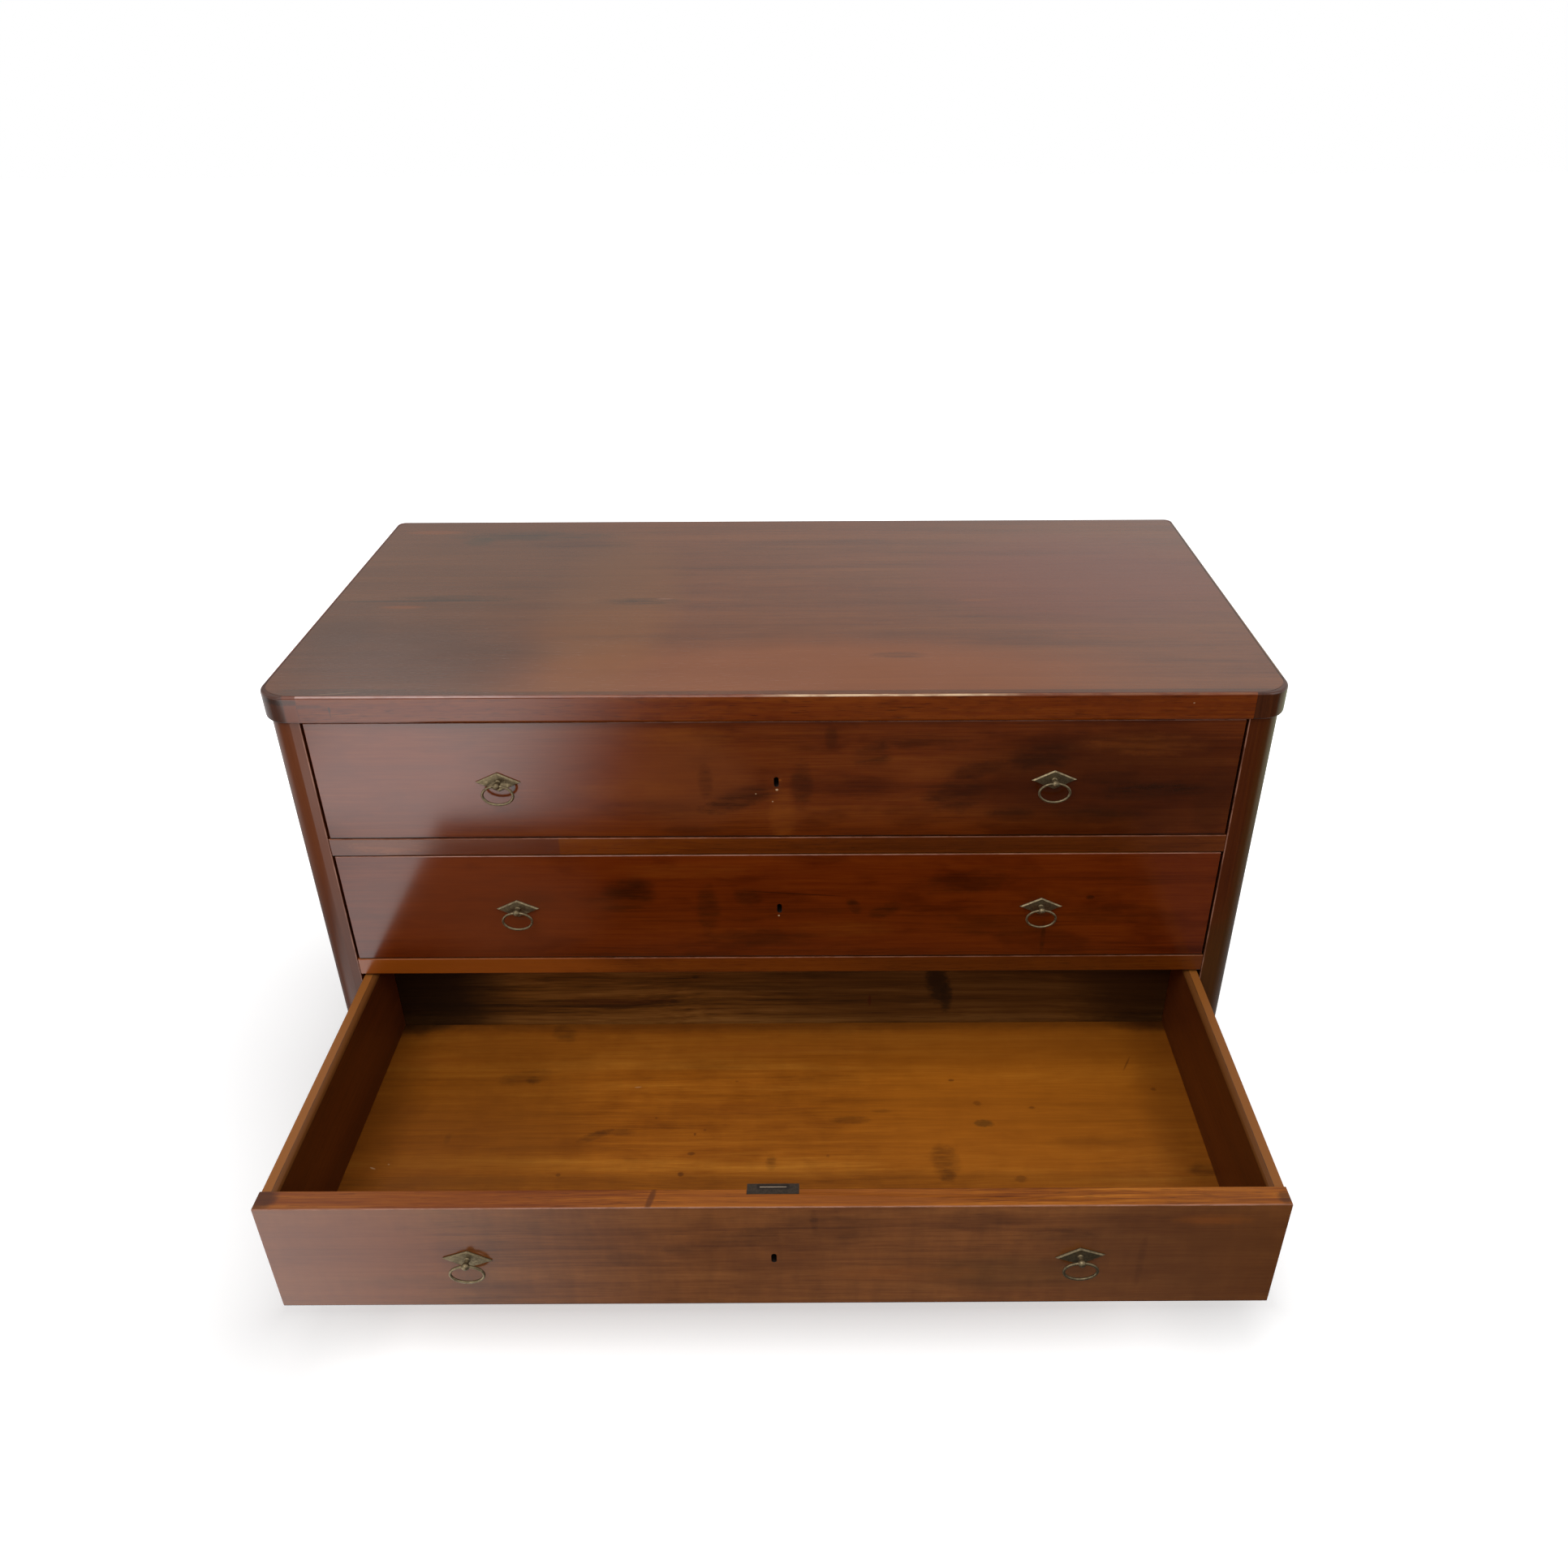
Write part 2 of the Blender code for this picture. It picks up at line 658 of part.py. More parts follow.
def make_drawer_front(name, drawer, sizes):
    """The front board: sockets for the sides' tails, floor groove, lock recess, keyhole."""
    front = box(
        name + "_front", (-FRONT_HALF, FRONT_HALF), (0.0, DRAWER_FRONT),
        (FRONT_LOW, sizes.front_top))
    soften(front)
    finish(front, drawer, "mahogany_veneer")
    for side in (-1, 1):
        for outline in sizes.front_tails(FIT):
            low, high = span(side, SIDE_INNER - FIT, FRONT_HALF + CUT_PAST)
            socket = prism(front.name + "_socket", outline, "YZ", low, high)
            combine(front, socket, "DIFFERENCE")
    groove = box(
        front.name + "_groove", (-SIDE_INNER, SIDE_INNER),
        (DRAWER_FRONT - GROOVE_DEPTH, DRAWER_FRONT + CUT_PAST),
        (FLOOR_RISE - FLOOR_EDGE - FIT, FLOOR_RISE + FIT))
    combine(front, groove, "DIFFERENCE")
    half = LOCK_WIDTH / 2 + FIT
    recess = box(
        front.name + "_lock_recess", (-half, half),
        (LOCK_FRONT - FIT, DRAWER_FRONT + CUT_PAST),
        (sizes.lock_low - FIT, sizes.front_top + CUT_PAST))
    combine(front, recess, "DIFFERENCE")
    keyhole = prism(
        front.name + "_keyhole", keyhole_outline(sizes.key), "XZ", -CUT_PAST, DRAWER_FRONT)
    combine(front, keyhole, "DIFFERENCE")


def side_outline(sizes):
    """A drawer side seen from the side (y, z), with its tails at both ends."""
    front_root = DRAWER_FRONT + FIT
    rear_root = DRAWER_DEPTH - DRAWER_BACK - FIT
    finger_low = sizes.back_low - FIT
    finger_high = sizes.back_top + FIT
    outline = [(front_root, 0.0), (DRAWER_DEPTH, 0.0), (DRAWER_DEPTH, finger_low)]
    outline.append((rear_root, finger_low))
    for shape in sizes.rear_tails():
        outline += shape
    outline += [(rear_root, finger_high), (DRAWER_DEPTH, finger_high)]
    outline += [(DRAWER_DEPTH, sizes.side_top), (front_root, sizes.side_top)]
    for shape in reversed(sizes.front_tails()):
        outline += reversed(shape)
    return outline


def make_drawer_sides(name, drawer, sizes):
    """The two sides: dovetailed at both ends, grooved for the floor, rounded on top."""
    for side, word in ((-1, "left"), (1, "right")):
        low, high = span(side, SIDE_INNER, SIDE_OUTER)
        board = prism(f"{name}_{word}_side", side_outline(sizes), "YZ", low, high)
        bevel_edges(
            board, lambda p: p.z > sizes.side_top - FIT and abs(p.x) < SIDE_INNER + FIT,
            SIDE_ROUNDING, ROUND_SEGMENTS)
        finish(board, drawer, "drawer_mahogany", ROUND_ANGLE)
        groove = box(
            board.name + "_groove",
            span(side, SIDE_INNER - CUT_PAST, SIDE_INNER + GROOVE_DEPTH),
            (DRAWER_FRONT - GROOVE_DEPTH - FIT, DRAWER_DEPTH + CUT_PAST),
            (FLOOR_RISE - FLOOR_EDGE - FIT, FLOOR_RISE + FIT))
        combine(board, groove, "DIFFERENCE")


def make_drawer_back(name, drawer, sizes):
    """The back board, lower than the sides, its ends cut round their tails."""
    back = box(
        name + "_back", (-SIDE_OUTER, SIDE_OUTER), (DRAWER_DEPTH - DRAWER_BACK, DRAWER_DEPTH),
        (sizes.back_low, sizes.back_top))
    finish(back, drawer, "pine_stained")
    for side in (-1, 1):
        for outline in sizes.rear_tails(FIT):
            low, high = span(side, SIDE_INNER - FIT, SIDE_OUTER + CUT_PAST)
            combine(back, prism(back.name + "_socket", outline, "YZ", low, high), "DIFFERENCE")


def make_drawer_floor(name, drawer):
    """The floor board, thinned underneath towards the grooves, running under the back."""
    half = SIDE_INNER + GROOVE_DEPTH - FIT
    floor = box(
        name + "_floor", (-half, half), (DRAWER_FRONT - GROOVE_DEPTH + FIT, DRAWER_DEPTH),
        (FLOOR_UNDER, FLOOR_RISE))
    level = FLOOR_RISE - FLOOR_EDGE
    run = FLOOR_BEVEL
    fall = FLOOR_BOARD - FLOOR_EDGE
    slice_off(floor, (SIDE_INNER, 0, level), Vector((fall, 0, -run)).normalized())
    slice_off(floor, (-SIDE_INNER, 0, level), Vector((-fall, 0, -run)).normalized())
    slice_off(floor, (0, DRAWER_FRONT, level), Vector((0, -fall, -run)).normalized())
    finish(floor, drawer, "pine_stained")


def make_lock(name, drawer, sizes):
    """The iron lock, let into the front from behind, and its bolt in the open channel."""
    front = LOCK_FRONT
    back = front + LOCK_THICKNESS
    half = LOCK_WIDTH / 2
    top = sizes.front_top
    lock = box(name + "_lock", (-half, half), (front, back), (top - SELVAGE, top))
    finish(lock, drawer, "iron")
    body = box(
        lock.name + "_case", (SELVAGE_LIP - half, half - SELVAGE_LIP),
        (front, back - LOCK_CASE_STEP), (sizes.lock_low, top - INSET))
    combine(lock, body, "UNION")
    wide = BOLT_WIDTH / 2 + FIT
    thick = BOLT_THICKNESS / 2 + FIT
    channel = box(
        lock.name + "_channel", (-wide, wide),
        (BOLT_FROM_FRONT - thick, BOLT_FROM_FRONT + thick), (top - BOLT_LENGTH - FIT, top + CUT_PAST))
    combine(lock, channel, "DIFFERENCE")
    keyhole = prism(
        lock.name + "_keyhole", keyhole_outline(sizes.key), "XZ", front - CUT_PAST,
        front + KEYHOLE_DEPTH)
    combine(lock, keyhole, "DIFFERENCE")
    bolt = box(
        lock.name + "_bolt", (-BOLT_WIDTH / 2, BOLT_WIDTH / 2),
        (BOLT_FROM_FRONT - BOLT_THICKNESS / 2, BOLT_FROM_FRONT + BOLT_THICKNESS / 2),
        (top - BOLT_LENGTH, top))
    finish(bolt, drawer, "iron")


def plate_outline(turn):
    """The diamond of a back plate seen from the front, turned by so many degrees."""
    wide, high = PLATE_WIDTH / 2, PLATE_HEIGHT / 2
    turned = Matrix.Rotation(math.radians(turn), 2)
    return [turned @ Vector(tip) for tip in ((-wide, 0), (0, -high), (wide, 0), (0, high))]


def add_ball(name, segments, rings, radius, y):
    """A ball on a pull's axis, with its centre at the depth y."""
    bpy.ops.mesh.primitive_uv_sphere_add(
        segments=segments, ring_count=rings, radius=radius, location=(0, y, 0))
    ball = bpy.context.object
    ball.name = name
    return ball


def make_pull_plate(name, pull, turn):
    """A diamond back plate with a boss, a stem and a pierced ball, one piece of brass."""
    outline = plate_outline(turn)
    face = -FIT - PLATE_THICKNESS
    plate = prism(name + "_plate", outline, "XZ", face, -FIT)
    bevel_edges(plate, lambda p: p.y < face + FIT, PLATE_BEVEL, EASED_SEGMENTS)
    finish(plate, pull, "brass", ROUND_ANGLE)
    boss = add_ball(
        plate.name + "_boss", BOSS_SEGMENTS, BOSS_RINGS, BOSS_RADIUS, face + BOSS_SINK)
    boss.scale.y = BOSS_RISE / BOSS_RADIUS
    combine(plate, boss, "UNION")
    stem_start = face + INSET
    bpy.ops.mesh.primitive_cylinder_add(
        vertices=STEM_SIDES, radius=STEM_RADIUS, depth=stem_start + BALL_OUT,
        location=(0, (stem_start - BALL_OUT) / 2, 0), rotation=(math.pi / 2, 0, 0))
    stem = bpy.context.object
    stem.name = plate.name + "_stem"
    combine(plate, stem, "UNION")
    ball = add_ball(plate.name + "_ball", BALL_SEGMENTS, BALL_RINGS, BALL_RADIUS, -BALL_OUT)
    combine(plate, ball, "UNION")
    bpy.ops.mesh.primitive_cylinder_add(
        vertices=STEM_SIDES, radius=EYE_RADIUS, depth=2 * (BALL_RADIUS + CUT_PAST),
        location=(0, -BALL_OUT, 0), rotation=(0, math.pi / 2, 0))
    eye = bpy.context.object
    eye.name = plate.name + "_eye"
    combine(plate, eye, "DIFFERENCE")


def make_pull_ring(name, pull):
    """An oval wire ring that hangs in the ball's eye; its origin is the eye's axis."""
    wide = (RING_WIDTH - RING_WIRE) / 2
    high = (RING_HEIGHT - RING_WIRE) / 2
    curve = bpy.data.curves.new(name + "_ring", "CURVE")
    curve.dimensions = "3D"
    curve.bevel_depth = RING_WIRE / 2
    curve.bevel_resolution = WIRE_RESOLUTION
    spline = curve.splines.new("POLY")
    spline.points.add(RING_STEPS - 1)
    for index, point in enumerate(spline.points):
        angle = 2 * math.pi * index / RING_STEPS
        point.co = (wide * math.sin(angle), 0.0, high * (math.cos(angle) - 1), 1.0)
    spline.use_cyclic_u = True
    drawn = bpy.data.objects.new(name + "_ring_path", curve)
    bpy.context.scene.collection.objects.link(drawn)
    ring = as_mesh(drawn, name + "_ring")
    ring.location = (0, -BALL_OUT, 0)
    finish(ring, pull, "brass", WIRE_ANGLE)


def make_drawer(index, case):
    """One drawer with its lock and its two pulls, under an empty that slides with it."""
    name = DRAWER_NAMES[index] + "_drawer"
    out = PULL_OUT if DRAWER_NAMES[index] == "bottom" else 0.0
    sizes = DrawerSizes(OPENING_HEIGHTS[index])
    drawer = empty(name, case, (0, -out, opening_floor(index) + RUNNING))
    make_drawer_front(name, drawer, sizes)
    make_drawer_sides(name, drawer, sizes)
    make_drawer_back(name, drawer, sizes)
    make_drawer_floor(name, drawer)
    make_lock(name, drawer, sizes)
    for side, word, turn in zip((-1, 1), ("left", "right"), PLATE_TURNS[index]):
        pull_name = f"{name}_{word}_pull"
        pull = empty(pull_name, drawer, (side * PULL_X, 0, sizes.centre))
        make_pull_plate(pull_name, pull, turn)
        make_pull_ring(pull_name, pull)


def main():
    """Build the case and then its drawers from the top down."""
    case = empty("case", None, (0, FRONT_PLANE_Y, 0))
    make_top(case)
    make_legs(case)
    make_side_panels(case)
    make_rails(case)
    make_back(case)
    make_runners(case)
    for index in range(len(DRAWER_NAMES)):
        make_drawer(index, case)


clear_scene()
PARTS = new_collection("commode")
CUTTERS = new_collection("commode_cutters")
MATERIALS = {name: make_material(name) for name in COLOURS}
main()
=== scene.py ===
"""A mahogany chest of three drawers, its bottom drawer open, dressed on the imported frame.

Lengths are metres in the frame's own axes: +X to the right, the drawers open towards -Y, +Z up.
"""
import json
import logging
import math
from dataclasses import dataclass, replace
from enum import Enum
from functools import cached_property
from typing import Callable, Iterable, Sequence, Union

import bmesh
import bpy
from mathutils import Matrix, Vector


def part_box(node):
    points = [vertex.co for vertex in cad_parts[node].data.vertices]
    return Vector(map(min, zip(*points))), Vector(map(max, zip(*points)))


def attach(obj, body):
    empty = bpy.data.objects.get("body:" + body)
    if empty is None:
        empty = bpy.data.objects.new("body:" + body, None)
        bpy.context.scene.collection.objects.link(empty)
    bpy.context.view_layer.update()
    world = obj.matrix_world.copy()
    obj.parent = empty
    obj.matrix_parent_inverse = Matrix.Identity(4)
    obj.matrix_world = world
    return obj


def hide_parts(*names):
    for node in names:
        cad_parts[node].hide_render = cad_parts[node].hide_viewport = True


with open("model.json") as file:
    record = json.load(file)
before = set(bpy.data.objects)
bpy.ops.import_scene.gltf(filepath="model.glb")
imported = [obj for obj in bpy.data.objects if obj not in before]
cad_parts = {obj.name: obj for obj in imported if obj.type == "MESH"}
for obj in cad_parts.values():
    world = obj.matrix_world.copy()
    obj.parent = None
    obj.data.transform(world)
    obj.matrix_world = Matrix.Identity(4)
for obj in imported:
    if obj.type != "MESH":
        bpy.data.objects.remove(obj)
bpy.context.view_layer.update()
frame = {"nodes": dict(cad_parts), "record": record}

# Places this close count as the same.
NEAR = 0.00001
# The width of the lines along arrises: worn and dirty lines, painted highlights and painted shade.
ARRIS = 0.0012
# How far a zone reaches beyond its piece where it has no end.
PAST = 1.0

LOG = logging.getLogger("commode")
Colour = tuple[float, float, float]
Point = tuple[float, float, float]
Range = tuple[float, float]


def screen(red: int, green: int, blue: int) -> Colour:
    """The linear colour that a shader takes, from one as a screen shows it, from 0 to 255."""
    def linear(value: float) -> float:
        """One channel."""
        value /= 255
        return value / 12.92 if value <= 0.04045 else ((value + 0.055) / 1.055) ** 2.4
    return linear(red), linear(green), linear(blue)


def arithmetic(operation: str, swapped: bool = False) -> Callable[["Socket", "Number"], "Socket"]:
    """A method of Socket that adds a Math node; swapped puts the other number first."""
    def method(self: "Socket", other: "Number") -> "Socket":
        """The operation on this socket and another number."""
        return self.calculated(operation, *((other, self) if swapped else (self, other)))
    return method


class Socket:
    """A number or vector in a material's nodes; arithmetic on it adds Math nodes."""

    def __init__(self, sheet: "Sheet", output: bpy.types.NodeSocket) -> None:
        """Hold one output socket of a node on a sheet."""
        self.sheet = sheet
        self.output = output

    def calculated(self, operation: str, *values: "Number", clamp: bool = False) -> "Socket":
        """A Math node of this operation on the values."""
        return self.sheet.node(
            "ShaderNodeMath", {"operation": operation, "use_clamp": clamp},
            dict(enumerate(values)))

    __add__ = __radd__ = arithmetic("ADD")
    __sub__ = arithmetic("SUBTRACT")
    __rsub__ = arithmetic("SUBTRACT", swapped=True)
    __mul__ = __rmul__ = arithmetic("MULTIPLY")
    __truediv__ = arithmetic("DIVIDE")
    __pow__ = arithmetic("POWER")
    most = arithmetic("MAXIMUM")
    least = arithmetic("MINIMUM")

    def __abs__(self) -> "Socket":
        """Size without sign."""
        return self.calculated("ABSOLUTE", self)

    def clamped(self) -> "Socket":
        """Kept between 0 and 1."""
        return self.calculated("ADD", self, 0.0, clamp=True)

    def step(self, low: float, high: float, start: float = 0.0, end: float = 1.0) -> "Socket":
        """A smooth step.

        Args:
            low: The value at which the step starts.
            high: The value at which it ends.
            start: The result at and below low.
            end: The result at and above high.

        Returns:
            The stepped value.
        """
        return self.sheet.node(
            "ShaderNodeMapRange", {"interpolation_type": "SMOOTHSTEP"},
            {"Value": self, "From Min": low, "From Max": high, "To Min": start, "To Max": end})


Number = Union[Socket, float]
Paint = Union[Socket, Colour]


class Sheet:
    """The node tree of one material or world, written from scratch."""
    RAGGED_WAVES = 1.8
    STREAKS = (14.0, 120.0, 120.0), 3.0, 0.65, 0.3

    def __init__(self, holder: Union[bpy.types.Material, bpy.types.World]) -> None:
        """Empty the node tree of a material or world."""
        self.holder = holder
        holder.use_nodes = True
        self.tree = holder.node_tree
        self.tree.nodes.clear()
        self._place: dict[str, Socket] = {}
        self._waves: dict[int, Socket] = {}

    def node(self, kind: str, settings: dict | None = None, sockets: dict | None = None,
             output: Union[str, int] = 0) -> Socket:
        """Add a node.

        Args:
            kind: The node's type.
            settings: Its settings.
            sockets: Values or links of its inputs, by name, identifier or number.
            output: The output that is returned, by identifier or number.

        Returns:
            One output of the new node.
        """
        made = self.tree.nodes.new(kind)
        for key, value in (settings or {}).items():
            setattr(made, key, value)
        for key, value in (sockets or {}).items():
            target = self._input(made, key)
            if isinstance(value, Socket):
                self.tree.links.new(value.output, target)
            elif target.type == "RGBA":
                target.default_value = (*value[:3], 1.0)
            else:
                target.default_value = value
        if not made.outputs:
            return Socket(self, None)
        if isinstance(output, str):
            return Socket(self, next(s for s in made.outputs if s.identifier == output))
        return Socket(self, made.outputs[output])

    @staticmethod
    def _input(node: bpy.types.Node, key: Union[str, int]) -> bpy.types.NodeSocket:
        """An input of a node by number, identifier or name."""
        if isinstance(key, int):
            return node.inputs[key]
        for socket in node.inputs:
            if socket.identifier == key:
                return socket
        return node.inputs[key]

    def axis(self, name: str) -> Socket:
        """The X, Y or Z of the place on the piece, or all three by the name XYZ."""
        if not self._place:
            place = self.node("ShaderNodeTexCoord", output="Object")
            self._place["XYZ"] = place
            for number, letter in enumerate("XYZ"):
                self._place[letter] = self.node(
                    "ShaderNodeSeparateXYZ", sockets={"Vector": place}, output=number)
        return self._place[name]

    def vector(self, x: Number, y: Number, z: Number) -> Socket:
        """A vector of three numbers."""
        return self.node("ShaderNodeCombineXYZ", sockets={"X": x, "Y": y, "Z": z})

    def noise(self, vector: Socket, stretch: Point, detail: float, roughness: float,
              distortion: float = 0.0, shift: Point = (0, 0, 0)) -> Socket:
        """Noise between 0 and 1.

        Args:
            vector: The place.
            stretch: Features per metre along each axis.
            detail: Octaves.
            roughness: Strength of each octave after the first.
            distortion: How far the pattern swirls.
            shift: Moves the pattern, in features.

        Returns:
            The noise.
        """
        mapped = self.node(
            "ShaderNodeMapping", sockets={"Vector": vector, "Location": shift, "Scale": stretch})
        return self.node("ShaderNodeTexNoise", sockets={
            "Vector": mapped, "Scale": 1.0, "Detail": detail, "Roughness": roughness,
            "Distortion": distortion})

    def ragged(self, size: float) -> Socket:
        """Uneven noise about 0 for the outline of a spot of this size, shared by like spots."""
        octave = round(math.log2(self.RAGGED_WAVES / size))
        if octave not in self._waves:
            scale = 2.0 ** octave
            self._waves[octave] = self.noise(
                self.axis("XYZ"), (scale * 0.6, scale, scale), 4.0, 0.68) - 0.5
        return self._waves[octave]

    @cached_property
    def streaks(self) -> Socket:
        """Fine streaks along X, for spots that belong to the wood's figure."""
        return self.noise(self.axis("XYZ"), *self.STREAKS)

    def mix(self, factor: Number, a: Paint, b: Paint, blend: str = "MIX") -> Socket:
        """Two colours mixed."""
        return self.node(
            "ShaderNodeMix", {"data_type": "RGBA", "blend_type": blend},
            {"Factor_Float": factor, "A_Color": a, "B_Color": b}, output="Result_Color")

    def ramp(self, value: Number, stops: Sequence[tuple[float, Colour]]) -> Socket:
        """A colour ramp."""
        made = self.node("ShaderNodeValToRGB", sockets={"Fac": value})
        elements = made.output.node.color_ramp.elements
        while len(elements) < len(stops):
            elements.new(0.5)
        for element, (position, colour) in zip(elements, stops):
            element.position = position
            element.color = (*colour, 1.0)
        return made

    def shade(self, colour: Paint, amount: Number) -> Socket:
        """A colour made lighter or darker by a factor that is 1 for no change."""
        return self.node(
            "ShaderNodeVectorMath", {"operation": "SCALE"}, {"Vector": colour, "Scale": amount})

    def finish(self, colour: Paint, roughness: Number, height: Socket, relief: float,
               **uniform: float) -> bpy.types.Material:
        """Join the pattern to a Principled shader.

        Args:
            colour: The base colour.
            roughness: The roughness.
            height: The relief, between 0 and 1.
            relief: The relief's depth.
            uniform: Values of the shader's other sockets, with _ for a space.

        Returns:
            The material.
        """
        bump = self.node(
            "ShaderNodeBump", sockets={"Strength": 1.0, "Distance": relief, "Height": height})
        shader = self.node("ShaderNodeBsdfPrincipled", sockets={
            "Base Color": colour, "Roughness": roughness, "Normal": bump,
            **{key.replace("_", " "): value for key, value in uniform.items()}})
        self.node("ShaderNodeOutputMaterial", sockets={"Surface": shader})
        return self.holder


class Grain(Enum):
    """The way that a board's grain runs, as the order of its axes: along, across, through."""
    ALONG_X = "XYZ"
    ALONG_Y = "YXZ"
    ALONG_Z = "ZXY"


class Face(Enum):
    """The two axes of a face that a mark lies on."""
    FRONT = "XZ"
    TOP = "XY"


@dataclass(frozen=True)
class Patch:
    """A soft-edged spot of another colour, such as a stain, a cloud of dark figure, a painted
    shadow or painted light.

    The centre and half sizes are metres on the face, and the turn is in degrees. A ragged
    spot has an uneven outline, a soft one fades, and a streaked one breaks up along the grain.
    """
    STREAK_EDGES = (0.36, 0.62)
    face: Face
    centre: tuple[float, float]
    size: tuple[float, float]
    colour: Colour
    strength: float
    turn: float = 0.0
    ragged: float = 0.8
    soft: float = 0.8
    streaked: float = 0.0

    def paint(self, sheet: Sheet, colour: Socket) -> Socket:
        """The board's colour with this spot on it."""
        first, second = (sheet.axis(letter) for letter in self.face.value)
        across, up = first - self.centre[0], second - self.centre[1]
        cos, sin = math.cos(math.radians(self.turn)), math.sin(math.radians(self.turn))
        along = (across * cos + up * sin) / self.size[0]
        aside = (up * cos - across * sin) / self.size[1]
        outline = sheet.ragged(min(self.size)) * (2 * self.ragged)
        reach = along * along + aside * aside + outline
        shown = reach.step(1.0 - self.soft, 1.0 + self.soft, self.strength, 0.0)
        if self.streaked:
            shown = sheet.streaks.step(*self.STREAK_EDGES, 1.0 - self.streaked, 1.0) * shown
        return sheet.mix(shown, colour, screen(*self.colour))


@dataclass(frozen=True)
class Zone:
    """A part of a board between two levels of one or more axes, such as a worn arris, a painted
    highlight along an arris or painted shade under one.

    A broken zone shows only here and there, and runs along one axis, where it may fade.
    """
    BREAKUP_ALONG = 38.0
    BREAKUP_ACROSS = 200.0
    BREAKUP_EDGES = (0.40, 0.60)
    ranges: dict[str, Range]
    colour: Colour
    strength: float
    soft: float
    broken: float = 0.0
    along: str = "X"
    fade: float = 0.0

    def paint(self, sheet: Sheet, colour: Socket) -> Socket:
        """The board's colour with this zone on it."""
        shown: Number = self.strength
        for letter, (low, high) in self.ranges.items():
            place = sheet.axis(letter)
            soft = max(self.soft, self.fade if letter == self.along else 0.0)
            shown = place.step(low - soft, low + soft) * shown
            shown = place.step(high - soft, high + soft, 1.0, 0.0) * shown
        if self.broken:
            # The breakup noise serves worn lines and painted highlights alike.
            stretch = tuple(
                self.BREAKUP_ALONG if letter == self.along else self.BREAKUP_ACROSS for letter in "XYZ")
            breakup = sheet.noise(
                sheet.axis("XYZ"), stretch, 4.0, 0.7, shift=(self.strength * 31, 0, 0))
            shown = breakup.step(*self.BREAKUP_EDGES, 1.0 - self.broken, 1.0) * shown
        return sheet.mix(shown, colour, screen(*self.colour))


Mark = Union[Patch, Zone]


@dataclass(frozen=True)
class Timber:
    """A timber with its stain and polish.

    The colours run from the dark growth bands to the light ones; counts are per metre across
    the grain; figure is the strength of the cloudy dark mottle, figure_size its clouds, and
    figure_colour what it multiplies the colour by.
    """
    SEED_SHIFTS = (3.1, 1.7, 0.9)
    # Each pattern's features per metre along, across and through, its octaves and roughness.
    WAVE = (1.6, 5.5, 5.5), 2.0, 0.5
    FIBRE = (22.0, 900.0, 900.0), 1.0, 0.5
    RIPPLE = (70.0, 22.0, 22.0), 3.0, 0.55
    PORE = (45.0, 1000.0, 1000.0), 1.0, 0.5
    DULL = (5.0, 9.0, 9.0), 3.0, 0.6
    PORE_EDGES = (0.60, 0.74)
    dark: Colour
    middle: Colour
    light: Colour
    bands: float = 34.0
    lines: float = 260.0
    wander: float = 0.010
    contrast: float = 0.24
    figure: float = 0.0
    figure_size: tuple[float, float] = (0.10, 0.032)
    figure_from: Range = (0.46, 0.68)
    figure_colour: Colour = (0.5, 0.4, 0.3)
    ripple: float = 0.04
    pores: float = 0.30
    roughness: float = 0.3
    uneven: float = 0.05
    specular: float = 0.5
    relief: float = 0.00004

    def dress(self, name: str, grain: Grain, seed: float,
              marks: Iterable[Mark] = ()) -> bpy.types.Material:
        """Make the material of one board.

        Args:
            name: The material's name.
            grain: The way its grain runs.
            seed: Moves the pattern, so that no two boards match.
            marks: Stains, worn places, seams, and painted light and shade on it.

        Returns:
            The material.
        """
        sheet = Sheet(bpy.data.materials.new(name))
        along, across, through = (
            sheet.axis(letter) + seed * shift
            for letter, shift in zip(grain.value, self.SEED_SHIFTS))
        start = sheet.vector(along, across, through)
        wave = sheet.noise(start, *self.WAVE) - 0.5
        drift = wave * (2 * self.wander)
        place = sheet.vector(along, across + drift, through + drift)
        bands = sheet.noise(place, (1.1, self.bands, self.bands), 3.0, 0.6)
        lines = sheet.noise(place, (4.5, self.lines, self.lines), 3.0, 0.65)
        fibre = sheet.noise(place, *self.FIBRE)
        tone = bands * 0.45 + lines * 0.35 + fibre * 0.20
        colour = sheet.ramp(tone, (
            (0.5 - self.contrast, screen(*self.dark)), (0.5, screen(*self.middle)),
            (0.5 + self.contrast, screen(*self.light))))
        if self.figure:
            long, wide = self.figure_size
            cloud = sheet.noise(start, (1 / long, 1 / wide, 1 / wide), 3.0, 0.55, 0.25)
            streaked = cloud + (lines - 0.5) * 0.25
            colour = sheet.mix(
                streaked.step(*self.figure_from) * self.figure, colour, self.figure_colour,
                "MULTIPLY")
        cross = sheet.noise(start, *self.RIPPLE, shift=(7, 3, 1))
        colour = sheet.shade(colour, (cross - 0.5) * (2 * self.ripple) + 1.0)
        pore = sheet.noise(place, *self.PORE, shift=(2, 5, 9)).step(*self.PORE_EDGES)
        colour = sheet.shade(colour, 1.0 - pore * self.pores)
        for mark in marks:
            colour = mark.paint(sheet, colour)
        dull = sheet.noise(start, *self.DULL, shift=(4, 4, 4)) - 0.5
        roughness = (dull * (2 * self.uneven) + pore * 0.04 + self.roughness).clamped()
        height = fibre * 0.2 + lines * 0.5 - pore * 0.3 + wave * 3.0
        return sheet.finish(
            colour, roughness, height, self.relief, Specular_IOR_Level=self.specular)


